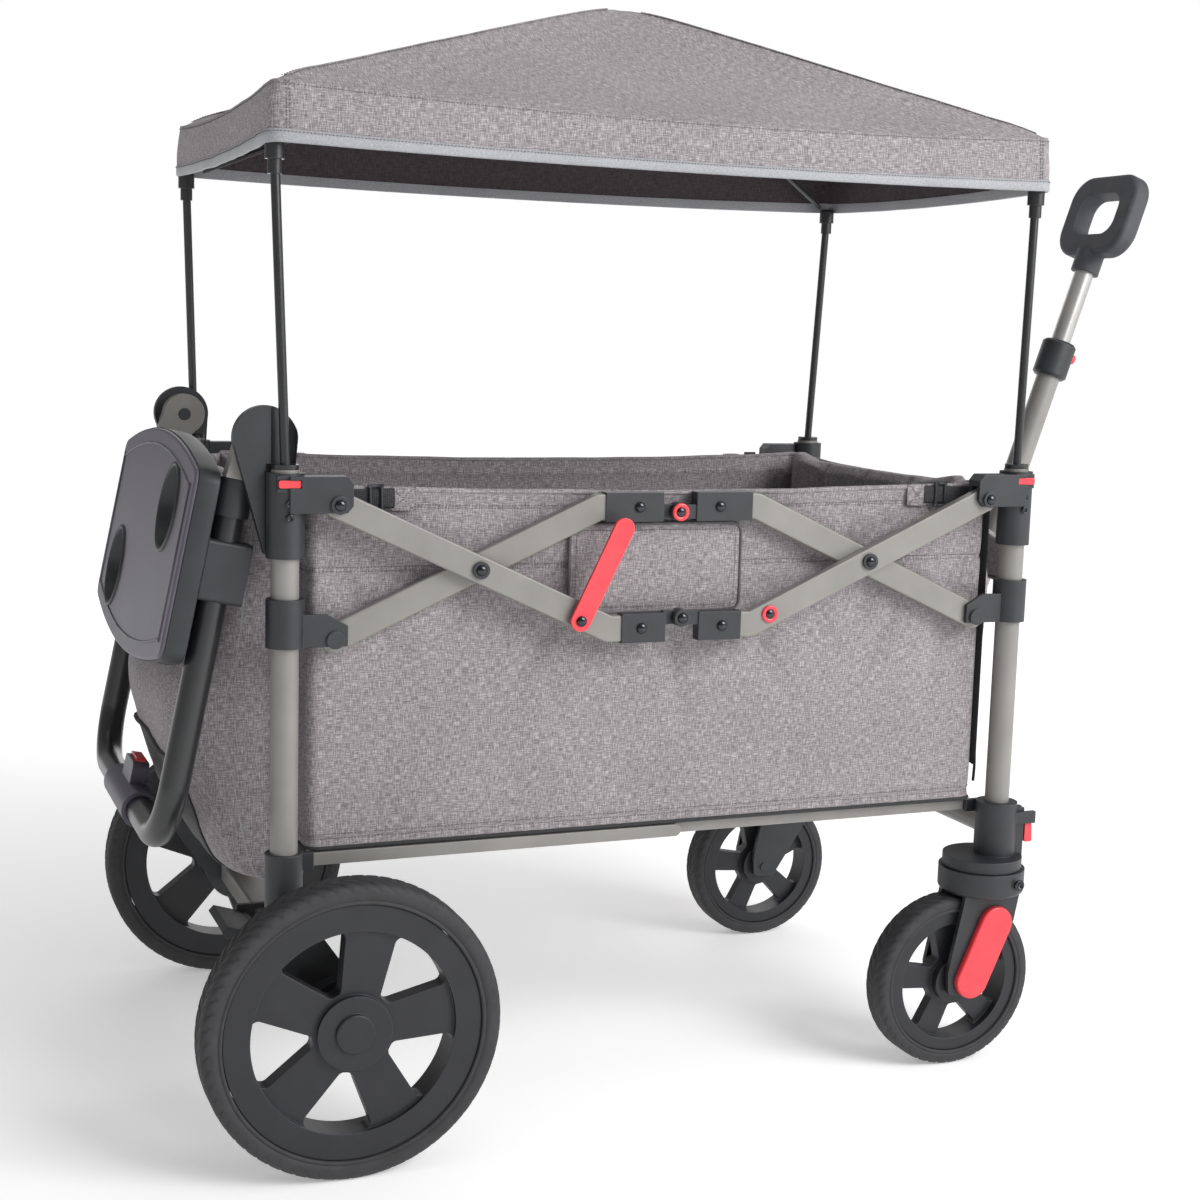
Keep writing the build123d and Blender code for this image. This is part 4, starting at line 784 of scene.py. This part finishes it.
def makeCanopy():
    rings = list(np.linspace(-1, 0, 12)) + list(np.linspace(0, 1, canopy["rings"]) ** 1.15)[1:-1]
    points = [canopyPoint(*spot, ring) for ring in rings for spot in canopyLoop]
    count = len(canopyLoop)
    faces = gridFaces(len(rings), count, closed=True)
    points.append(canopyPoint(0, 0, 0, 0, 1.0))
    last = (len(rings) - 1) * count
    faces += [(last + j, last + (j + 1) % count, len(points) - 1) for j in range(count)]
    roof = makePiece("canopy_roof", points, faces, polyesterMelange, coatedLining)
    thicken(roof, 2.0, lining=True)
    slant = math.hypot(canopy["halfWidth"], canopy["peak"] - canopy["fold"])
    slant += canopy["fold"] - canopy["bottom"]
    finishSoft(roof, "rear_frame", "canopy_fabric")
    folding(roof)

    # grosgrain binding folded over the bottom edge, with its stitches
    share = canopy["binding"] / (canopy["fold"] - canopy["bottom"])
    rows = []
    for ring, proud in ((-1 + share, 0.2), (-1 + share, 1.0), (-1 + share * 0.5, 1.1), (-1, 1.0), (-1.02, 0.0),
                        (-1.02, -2.6), (-1, -3.4), (-1 + share, -3.3)):
        rows.append([canopyPoint(*spot, ring, proud) for spot in canopyLoop])
    binding = makePiece("canopy_binding", [p for row in rows for p in row],
                        gridFaces(len(rows), count, closed=True), grosgrainTape)
    binding.data.flip_normals()
    folding(finishSoft(binding, "rear_frame"))
    stitches = ([], [])
    out = [Vector((spot[2], spot[3], 0)) for spot in canopyLoop]
    for ring, proud in ((-1 + share * 0.8, 1.5), (-0.06, 0.4)):
        line = [canopyPoint(*spot, ring, proud) for spot in canopyLoop]
        addShape(stitches, *stitchShape(line, out, closed=True))

    # flat-felled seams up the four hips: a low welt with a row of stitches each side
    welts = ([], [])
    for signX in (-1, 1):
        for signY in (-1, 1):
            x, y = signX * (canopy["halfLength"] - 6), signY * (canopy["halfWidth"] - 6)
            normal = (signX * 0.707, signY * 0.707)
            line = [canopyPoint(x, y, *normal, k / 40, 0.5) for k in range(1, 39)]
            addShape(welts, *tubeShape(line, 2.6, sides=8, flat=0.35))
            for shift in (-4.0, 4.0):
                row = [canopyPoint(x + signY * shift, y - signX * shift, *normal, k / 40, 0.5)
                       for k in range(1, 38)]
                addShape(stitches, *stitchShape(row, [Vector((0, 0, 1))] * len(row)))
            for shift in (20.0, 23.0):
                row = [canopyPoint(signX * (canopy["halfLength"] - shift), signY * canopy["halfWidth"],
                                   0, signY, -1 + share + k / 14 * (1 - share), 0.5) for k in range(15)]
                addShape(stitches, *stitchShape(row, [Vector((0, signY, 0))] * len(row)))
    for name, shape, finish in (("canopy_stitches", stitches, sewingThread),
                                ("canopy_welts", welts, polyesterMelange)):
        folding(finishSoft(makePiece(name, *shape, finish), "rear_frame"))


makeCanopy()
print("canopy made")


# the ribs bend with the roof, so they are drawn again under it
ribs = {"radius": 2.8, "hub": 15.0, "drop": 9.0}
ribShape = ([], [])
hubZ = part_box("canopy_ribs")[1].z / mm - 6
for signX in (-1, 1):
    for signY in (-1, 1):
        start = Vector((signX * 416, signY * 231.5, 1019))
        end = Vector((canopy["peakX"], signY * 2, hubZ))
        line = []
        for k in range(21):
            place = start.lerp(end, k / 20)
            line.append(at(place.x, place.y, place.z + ribs["drop"] * math.sin(math.pi * k / 20) * 0.5))
        addShape(ribShape, *tubeShape(line, ribs["radius"], sides=10))
hubProfile = [(0.1, -7), (11, -7), (ribs["hub"], -4), (ribs["hub"], 3), (11, 6), (0.1, 7)]
addShape(ribShape, *latheShape(hubProfile, at(canopy["peakX"], 0, hubZ), (0, 0, 1)))
ribPiece = makePiece("canopy_rib_rods", *ribShape, glassFibreRod)
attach(ribPiece, "rear_frame")
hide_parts("canopy_ribs")
folding(ribPiece)


# bags: lofted shells that swell between their fixings
rearBag = {
    "half": 190.0, "power": 4.5, "back": -405.0,
    "profile": [(-405, 660), (-431, 686), (-466, 684), (-484, 600), (-504, 508), (-526, 468), (-531, 438),
                (-514, 385), (-494, 316), (-468, 270), (-432, 276), (-405, 312)],
}
frontBag = {
    "half": 168.0, "power": 4.0, "back": 404.0,
    "profile": [(404, 606), (452, 600), (478, 582), (482, 540), (476, 490), (462, 430), (436, 380), (404, 356)],
}


def bagPoint(bag, profile, i, side, proud=0.0):
    # a point of the bag's skin: i along the profile and side from -1 to 1 across it
    place = profile[i]
    full = max(0.0, 1 - abs(side) ** bag["power"]) ** (1 / bag["power"])
    before, after = profile[max(i - 1, 0)], profile[min(i + 1, len(profile) - 1)]
    run = (after - before).normalized()
    out = Vector((-run.z, 0, run.x)) if bag["back"] > 0 else Vector((run.z, 0, -run.x))
    y = side * bag["half"]
    lumps = 3.2 * ripple(place.x, y, place.z, 70, 2.5) + 1.6 * ripple(place.x, y, place.z, 28, 7.5) - 2.5
    deep = bag["back"] + (place.x - bag["back"]) * full
    reach = min(1.0, abs(place.x - bag["back"]) / 25)
    x = deep + out.x * (lumps * reach * full + proud)
    return at(x, y, place.z + out.z * (lumps * reach * full + proud))


def bagSkin(name, bag, first, last, half, proud, rows, finish, thickness):
    line = evenly(smoothLine([Vector((x, 0, z)) for x, z in bag["profile"]]), 90)
    start, end = int(first * 89), int(last * 89)
    sides = [math.sin(math.pi / 2 * (2 * k / (rows - 1) - 1)) * half for k in range(rows)]
    points = [bagPoint(bag, line, i, side, proud) for side in sides for i in range(start, end + 1)]
    faces = gridFaces(rows, end - start + 1)
    piece = makePiece(name, points, faces, finish)
    if bag["back"] > 0:
        piece.data.flip_normals()
    thicken(piece, thickness)
    return piece


def edgeLine(bag, share, half, proud, count=60):
    # a line across the bag at one place of its profile
    line = evenly(smoothLine([Vector((x, 0, z)) for x, z in bag["profile"]]), 90)
    i = int(share * 89)
    return [bagPoint(bag, line, i, half * (2 * k / (count - 1) - 1), proud) for k in range(count)]


def sideLine(bag, first, last, side, proud):
    line = evenly(smoothLine([Vector((x, 0, z)) for x, z in bag["profile"]]), 90)
    return [bagPoint(bag, line, i, side, proud) for i in range(int(first * 89), int(last * 89) + 1)]


def makeBags():
    skin = bagSkin("rear_bag_skin", rearBag, 0, 1, 1.0, 0.0, 70, polyesterMelange, 2.0)
    finishSoft(skin, "rear_frame", "rear_bag")
    mesh = bagSkin("rear_bag_mesh", rearBag, 0.66, 0.88, 0.72, 2.2, 40, knittedMesh, 0.8)
    finishSoft(mesh, "rear_frame")
    dark, pale, stitches = ([], []), ([], []), ([], [])
    addShape(dark, *tubeShape(edgeLine(rearBag, 0.655, 0.73, 2.5), 4.6, sides=10, flat=0.45))
    addShape(dark, *tubeShape(sideLine(rearBag, 0.655, 0.885, 0.72, 2.4), 1.8))
    addShape(dark, *tubeShape(sideLine(rearBag, 0.655, 0.885, -0.72, 2.4), 1.8))
    addShape(pale, *tubeShape(edgeLine(rearBag, 0.885, 0.73, 2.5), 5.0, sides=10, flat=0.45))
    rear = [Vector((-1, 0, 0.1))] * 90
    for share in (0.17, 0.62, 0.635):
        addShape(stitches, *stitchShape(edgeLine(rearBag, share, 0.97, 0.5), rear))
    for side in (-0.985, 0.985):
        addShape(pale, *tubeShape(sideLine(rearBag, 0.03, 0.97, side, 1.0), 1.9))
    for name, shape, finish in (("rear_bag_zip", dark, blackWebbing), ("rear_bag_binding", pale, grosgrainTape),
                                ("rear_bag_stitches", stitches, sewingThread)):
        finishSoft(makePiece(name, *shape, finish), "rear_frame")

    pouch = bagSkin("front_pouch", frontBag, 0, 1, 1.0, 0.0, 60, polyesterMelange, 2.0)
    finishSoft(pouch, "front_frame", "front_pocket")
    # the flap: a curved lid with a dark lining that reaches out past the pouch
    fold = ((406, 640), (440, 632), (474, 612), (494, 580), (499, 556))
    lid = evenly(smoothLine([Vector((x, 0, z)) for x, z in fold]), 24)
    rows, points = 40, []
    for k in range(rows):
        side = 2 * k / (rows - 1) - 1
        curl = 1 - 0.10 * side ** 4
        for place in lid:
            lump = 1.4 * ripple(place.x, side * 170, place.z, 45, 3.0)
            x = 406 + (place.x - 406) * curl + lump
            points.append(at(x, side * 170, place.z - 6 * side ** 4))
    flap = makePiece("front_flap", points, gridFaces(rows, len(lid)), polyesterMelange, blackWebbing)
    flap.data.flip_normals()
    thicken(flap, 3.0, lining=True)
    finishSoft(flap, "front_frame")
    border = points[0:len(lid)] + [points[k * len(lid) + len(lid) - 1] for k in range(1, rows)]
    border += list(reversed(points[(rows - 1) * len(lid):-1]))
    edge = makePiece("front_flap_piping", *tubeShape(border, 2.2), polyesterMelange)
    finishSoft(edge, "front_frame")


makeBags()
print("bags made")


# tyres: moulded tread blocks with slanted grooves on the shoulders
tyres = {
    "rear": {"pitches": 64, "groove": 1.5, "tread": 0.40, "rim": 131.3, "slant": 0.9},
    "front": {"pitches": 44, "groove": 1.1, "tread": 0.38, "rim": 84.3, "slant": 0.9},
}


def makeTyre(node, body, tyre):
    low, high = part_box(node)
    centre, radius = (low + high) / 2, (high.z - low.z) / 2 / mm
    width = (high.y - low.y) / mm
    half, shoulder = width / 2 - 0.2, width * 0.20
    section = [(tyre["rim"], -half + 3.0), (tyre["rim"] + 0.2, -half + 0.6), (tyre["rim"] + 1.6, -half),
               (tyre["rim"] + 3.2, -half), (tyre["rim"] + 3.8, -half + 0.9), (tyre["rim"] + 4.6, -half + 0.9),
               (tyre["rim"] + 5.2, -half), (radius - shoulder - 3, -half)]
    for k in range(1, 9):
        turn = math.pi / 2 * k / 8
        section.append((radius - shoulder + shoulder * math.sin(turn),
                        -half + shoulder * (1 - math.cos(turn))))
    flatHalf = half - shoulder
    section += [(radius, -flatHalf * (1 - k / 7)) for k in range(1, 8)]
    section += [(r, -y) for r, y in reversed(section[:-1])]
    columns = tyre["pitches"] * 8
    points = []
    for r, y in section:
        for k in range(columns):
            cut = 0.0
            if r > radius - shoulder * 0.75:
                phase = (k / 8 + abs(y) / width * tyre["slant"] * 4) % 1.0
                edge = min(1.0, abs(y) / (width * 0.10))
                cut = tyre["groove"] * edge if phase < 0.3 else 0.0
                cut = tyre["groove"] if abs(y) < width * 0.035 else cut
            turn = 2 * math.pi * k / columns
            reach = (r - cut) * mm
            points.append(centre + Vector((math.cos(turn) * reach, y * mm, math.sin(turn) * reach)))
    faces = gridFaces(len(section), columns, closed=True)
    last = (len(section) - 1) * columns
    faces += [(k, last + k, last + (k + 1) % columns, (k + 1) % columns) for k in range(columns)]
    piece = makePiece(node + "_tread", points, faces, foamedRubber)
    piece.data.flip_normals()
    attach(piece, body)
    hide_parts(node)


for end in ("rear", "front"):
    for side in ("right", "left"):
        place = f"{end}_{side}"
        makeTyre(place + "_tyre", place + "_wheel", tyres[end])
print("tyres made")


# rivets, screws and rings on the frame
rivet = {"radius": 5.6, "height": 3.4}
sideways = {rightSide: Vector((0, -1, 0)), leftSide: Vector((0, 1, 0))}


def domeShape(centre, axis, radius, height):
    profile = [(0.05, 0.0), (radius, 0.0), (radius, 0.6)]
    for k in range(1, 8):
        turn = math.pi / 2 * k / 8
        profile.append((radius * math.cos(turn), 0.6 + (height - 0.6) * math.sin(turn)))
    profile.append((0.05, height))
    return latheShape(profile, centre, axis, 24)


def socketShape(centre, axis, radius, height):
    # a cap screw: eased rim, flat top and a round socket
    profile = [(0.05, 0.0), (radius, 0.0), (radius, height - 0.6), (radius - 0.6, height),
               (radius * 0.55, height), (radius * 0.5, height - 1.8), (0.05, height - 1.8)]
    return latheShape(profile, centre, axis, 24)


def hardPiece(name, shape, finish, body):
    piece = makePiece(name, *shape, finish)
    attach(piece, body)
    return piece


# x, z, distance out from the middle plane, and the body that carries the rivet
rivets = [
    (-375.0, 668.5, 277.5, "rear_frame"), (375.0, 668.5, 277.5, "front_frame"),
    (-226.5, 600.5, 272.0, "bars_b"), (226.5, 600.5, 272.0, "bars_d"),
    (-375.0, 532.5, 258.5, "rear_slider_pair"), (375.0, 532.5, 258.5, "front_slider_pair"),
    (0.0, 656.5, 257.4, "bars_a"), (0.0, 544.5, 271.4, "bars_b"),
    (-47.0, 662.0, 257.2, "bars_a"), (47.0, 662.0, 257.2, "bars_c"),
    (-47.0, 535.0, 271.2, "bars_b"), (47.0, 535.0, 271.2, "bars_d"), (104.8, 545.5, 269.2, "bars_d"),
]
studs = {}
for x, z, y, body in rivets:
    shape = studs.setdefault(body, ([], []))
    for side, out in sideways.items():
        addShape(shape, *domeShape(at(x, side * y, z), out, rivet["radius"], rivet["height"]))
for body, shape in studs.items():
    hardPiece(body + "_rivets", shape, blackChrome, body)
lever = ([], [])
addShape(lever, *domeShape(at(-119, -279.6, 546), sideways[rightSide], rivet["radius"], rivet["height"]))
hardPiece("bars_b_lever_rivet", lever, blackChrome, "bars_b")

rings = {"bars_a": [(0.0, 656.5, 257.0)], "bars_d": [(104.8, 545.5, 269.0)]}
for body, places in rings.items():
    shape = ([], [])
    for x, z, y in places:
        for side, out in sideways.items():
            profile = [(5.7, 0.0), (9.6, 0.0), (9.6, 1.6), (8.8, 2.2), (6.4, 2.2), (5.7, 1.6)]
            addShape(shape, *latheShape(profile, at(x, side * y, z), out, 32))
    hardPiece(body + "_red_rings", shape, signalRedAbs, body)
for end, body in ((-1, "rear_frame"), (1, "front_frame")):
    shape = ([], [])
    for side, out in sideways.items():
        for z in (670.0, 656.0):
            addShape(shape, *socketShape(at(end * 424, side * 271.8, z), out, 4.0, 2.0))
    hardPiece(body + "_collar_screws", shape, blackChrome, body)
for side, name in ((rightSide, "right"), (leftSide, "left")):
    out, shape = sideways[side], ([], [])
    addShape(shape, *socketShape(at(427, side * 301.5, 222), out, 6.5, 2.4))
    hardPiece(name + "_knuckle_screw", shape, blackChrome, name + "_caster")
print("rivets made")


# side pockets, straps and buckles on the tub
pocket = {"left": -119.0, "right": 81.0, "low": 547.0, "high": 643.0, "corner": 12.0, "out": 239.8,
          "swell": 2.4}
strap = {"patch": 26.0, "width": 20.0, "z": 672.0, "out": 240.3}


def roundedLine(left, right, low, high, corner, side, out):
    # the outline of a patch on the side of the tub
    line = []
    for cx, cz, start in ((right - corner, high - corner, 0), (left + corner, high - corner, 90),
                          (left + corner, low + corner, 180), (right - corner, low + corner, 270)):
        for k in range(7):
            turn = math.radians(start + 15 * k)
            line.append(at(cx + math.cos(turn) * corner, side * out, cz + math.sin(turn) * corner))
    return line


def patchShape(left, right, low, high, corner, side, out, swell):
    # a panel that swells a little in the middle, inside a rounded outline
    rows, columns, points = 18, 34, []
    for i in range(rows):
        for j in range(columns):
            u, v = j / (columns - 1) * 2 - 1, i / (rows - 1) * 2 - 1
            halfX, halfZ = (right - left) / 2, (high - low) / 2
            squareX = u * math.sqrt(1 - 0.5 * v * v * (corner / halfX))
            squareZ = v * math.sqrt(1 - 0.5 * u * u * (corner / halfZ))
            full = (1 - abs(u) ** 5) * (1 - abs(v) ** 5)
            x, z = (left + right) / 2 + squareX * halfX, (low + high) / 2 + squareZ * halfZ
            lump = swell * full * (0.75 + 0.4 * ripple(x, side * out, z, 34, 4.0))
            points.append(at(x, side * (out + lump), z))
    faces = gridFaces(rows, columns)
    return points, faces if side == rightSide else [tuple(reversed(face)) for face in faces]


def makeSideTrim():
    cloth, welt, thread, band, hard = [([], []) for _ in range(5)]
    for side, out in sideways.items():
        box = (pocket["left"], pocket["right"], pocket["low"], pocket["high"], pocket["corner"], side)
        addShape(cloth, *patchShape(*box, pocket["out"], pocket["swell"]))
        addShape(welt, *tubeShape(roundedLine(*box, pocket["out"] + 0.4), 1.7, closed=True,
                                  up=Vector((0, 1, 0))))
        inner = (pocket["left"] + 7, pocket["right"] - 7, pocket["low"] + 7, pocket["high"] - 7, 8.0, side)
        line = roundedLine(*inner, pocket["out"] + 1.6)
        addShape(thread, *stitchShape(line, [out] * len(line), closed=True))
        for end in (-1, 1):
            x0 = end * 288.0
            x1 = x0 + end * strap["patch"]
            low, high = strap["z"] - 13, strap["z"] + 12
            addShape(cloth, *patchShape(min(x0, x1), max(x0, x1), low, high, 3.0, side,
                                        strap["out"] - 0.6, 0.8))
            for a, b in (((x0, low), (x1, high)), ((x0, high), (x1, low))):
                line = [at(a[0] + (b[0] - a[0]) * k / 8, side * (strap["out"] + 0.7),
                           a[1] + (b[1] - a[1]) * k / 8) for k in range(9)]
                addShape(thread, *stitchShape(line, [out] * 9, pitch=3.0, length=2.0))
            frameLine = roundedLine(min(x0, x1), max(x0, x1), low, high, 2.5, side, strap["out"] + 0.6)
            addShape(thread, *stitchShape(frameLine, [out] * len(frameLine), pitch=3.0, length=2.0,
                                          closed=True))
            # webbing from the patch through a ladder buckle to the bracket
            ends = [at(x1 - end * 4, side * (strap["out"] + 0.2), strap["z"]),
                    at(x1 + end * 14, side * (strap["out"] + 0.9), strap["z"]),
                    at(x1 + end * 40, side * (strap["out"] + 0.3), strap["z"] - 1),
                    at(end * 402, side * (strap["out"] + 0.3), strap["z"] - 1)]
            addShape(band, *tubeShape(smoothLine(ends, 2), strap["width"] / 2, sides=10, flat=0.07,
                                      up=Vector((0, 1, 0))))
            for shift in (10.0, 22.0):
                x = x1 + end * shift
                bar = [at(x, side * (strap["out"] + 1.6), strap["z"] - 13),
                       at(x, side * (strap["out"] + 2.2), strap["z"]),
                       at(x, side * (strap["out"] + 1.6), strap["z"] + 13)]
                addShape(hard, *tubeShape(smoothLine(bar, 2), 1.9, sides=10))
            for rise in (-12.5, 12.5):
                rail = [at(x1 + end * 8, side * (strap["out"] + 1.5), strap["z"] + rise),
                        at(x1 + end * 24, side * (strap["out"] + 1.5), strap["z"] + rise)]
                addShape(hard, *tubeShape(rail, 1.9, sides=10))
    for name, shape, finish in (("side_pocket_panels", cloth, polyesterMelange),
                                ("side_pocket_piping", welt, sewingThread),
                                ("side_trim_stitches", thread, sewingThread),
                                ("side_straps", band, blackWebbing)):
        folding(finishSoft(makePiece(name, *shape, finish), "rear_frame"))
    buckles = hardPiece("side_buckles", hard, mouldedNylon, "rear_frame")
    folding(buckles)


makeSideTrim()


# zips at the front corners: tape, two rows of teeth and a slider with its puller
cornerZip = {"x": 402.6, "y": 226.0, "low": 352.0, "high": 655.0, "tape": 9.0, "tooth": 1.7, "pitch": 3.2}


def makeZips():
    tape, teeth = ([], []), ([], [])
    x, y, low, tall = cornerZip["x"], cornerZip["y"], cornerZip["low"], cornerZip["high"] - cornerZip["low"]
    for side in sideways:
        line = [at(x, side * y, low + tall * k / 40) for k in range(41)]
        addShape(tape, *tubeShape(line, cornerZip["tape"], sides=10, flat=0.12, up=Vector((1, 0, 0))))
        for k in range(int(tall / cornerZip["pitch"])):
            place = at(x + 1.2, side * y + (1 if k % 2 else -1) * 0.8, low + k * cornerZip["pitch"])
            addShape(teeth, *tubeShape([place - Vector((0, 1.6, 0)) * mm, place + Vector((0, 1.6, 0)) * mm],
                                       cornerZip["tooth"], sides=6, flat=0.8))
        slider = [at(x + 2.0, side * y, low + 12 + 3 * k) for k in range(5)]
        addShape(teeth, *tubeShape(slider, 4.6, sides=12, flat=0.6, up=Vector((1, 0, 0))))
        puller = [at(x + 4.0, side * y, low + 14), at(x + 5.0, side * y, low - 4),
                  at(x + 4.0, side * y, low - 22)]
        addShape(teeth, *tubeShape(smoothLine(puller, 2), 2.6, sides=10, flat=0.4, up=Vector((1, 0, 0))))
    folding(finishSoft(makePiece("corner_zip_tapes", *tape, blackWebbing), "rear_frame"))
    folding(hardPiece("corner_zip_teeth", teeth, mouldedNylon, "rear_frame"))


makeZips()
print("side trim made")


# push handle: black edge and cup wells on the tray
trayLook = {"tilt": 11.5, "passX": -465.5, "passZ": 682.3, "centreZ": 599.0, "back": 18.5, "thick": 26.0,
            "half": 235.0, "tall": 186.0, "bulge": 28.0, "corner": 16.0,
            "cups": ((124.0, 47.0), (-132.0, -47.0)), "cupRadius": 43.0, "cupDepth": 22.0}
tilt = math.radians(trayLook["tilt"])
handleUp = Vector((math.sin(tilt), 0, math.cos(tilt)))
handleOut = Vector((-math.cos(tilt), 0, math.sin(tilt)))


def onTray(across, up, out):
    # across runs to the right-hand side, up along the handle and out towards the person pushing
    x = trayLook["passX"] - math.tan(tilt) * (trayLook["passZ"] - trayLook["centreZ"])
    return at(x, -across, trayLook["centreZ"]) + (handleUp * up + handleOut * out) * mm


def trayOutline(shrink):
    half, tall, bulge = trayLook["half"] - shrink, trayLook["tall"] / 2 - shrink, trayLook["bulge"]
    corner, line = trayLook["corner"] - shrink, []
    radius = (half * half + bulge * bulge) / (2 * bulge)
    for sign in (1, -1):
        for k in range(41):
            across = -sign * (half - corner) * (1 - 2 * k / 40)
            rise = math.sqrt(radius * radius - across * across) - (radius - bulge)
            line.append((across, sign * (tall + rise)))
        for k in range(1, 7):
            turn = math.pi / 2 * k / 7
            line.append((sign * (half - corner + corner * math.sin(turn)),
                         sign * (tall + 3 - corner * (1 - math.cos(turn)))))
        for k in range(1, 7):
            turn = math.pi / 2 * k / 7
            line.append((sign * (half - corner + corner * math.cos(turn)),
                         -sign * (tall + 3 - corner * (1 - math.sin(turn)))))
    return line


def makeTrayTrim():
    face = trayLook["back"] + trayLook["thick"]
    band = []
    for shrink, out in ((-0.6, trayLook["back"] + 1.0), (-0.7, trayLook["back"] + 2.0), (-0.7, face - 5.0),
                        (-0.2, face - 4.0)):
        band.append([onTray(a, u, out) for a, u in trayOutline(shrink)])
    count = len(band[0])
    edge = makePiece("tray_edge", [p for row in band for p in row],
                     gridFaces(len(band), count, closed=True), mouldedNylon)
    thicken(edge, 0.5)
    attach(edge, "push_handle")
    groove = ([], [])
    addShape(groove, *tubeShape([onTray(a, u, face + 0.1) for a, u in trayOutline(17.0)], 1.4, sides=8,
                                closed=True, up=Vector((0, 1, 0))))
    wells = ([], [])
    for across, up in trayLook["cups"]:
        radius, depth = trayLook["cupRadius"], trayLook["cupDepth"]
        profile = [(radius + 4.5, 0.0), (radius + 4.2, 1.6), (radius + 2.4, 2.6), (radius + 0.4, 2.2),
                   (radius - 0.7, 0.6), (radius - 1.0, -depth + 3), (radius - 4.0, -depth + 0.6),
                   (0.05, -depth + 0.6)]
        addShape(wells, *openLathe(profile, onTray(across, up, face), handleOut))
    for name, shape, finish, slot in (("tray_inner_line", groove, mouldedAbs, "tray_plastic"),
                                      ("tray_cup_wells", wells, mouldedNylon, "black_plastic")):
        hardPiece(name, shape, finish, "push_handle")


def openLathe(profile, centre, axis, segments=56):
    # a turned skin whose ends stay open
    points, faces = latheShape(profile, centre, axis, segments)
    return points, faces[:-2]


makeTrayTrim()
print("handle trim made")
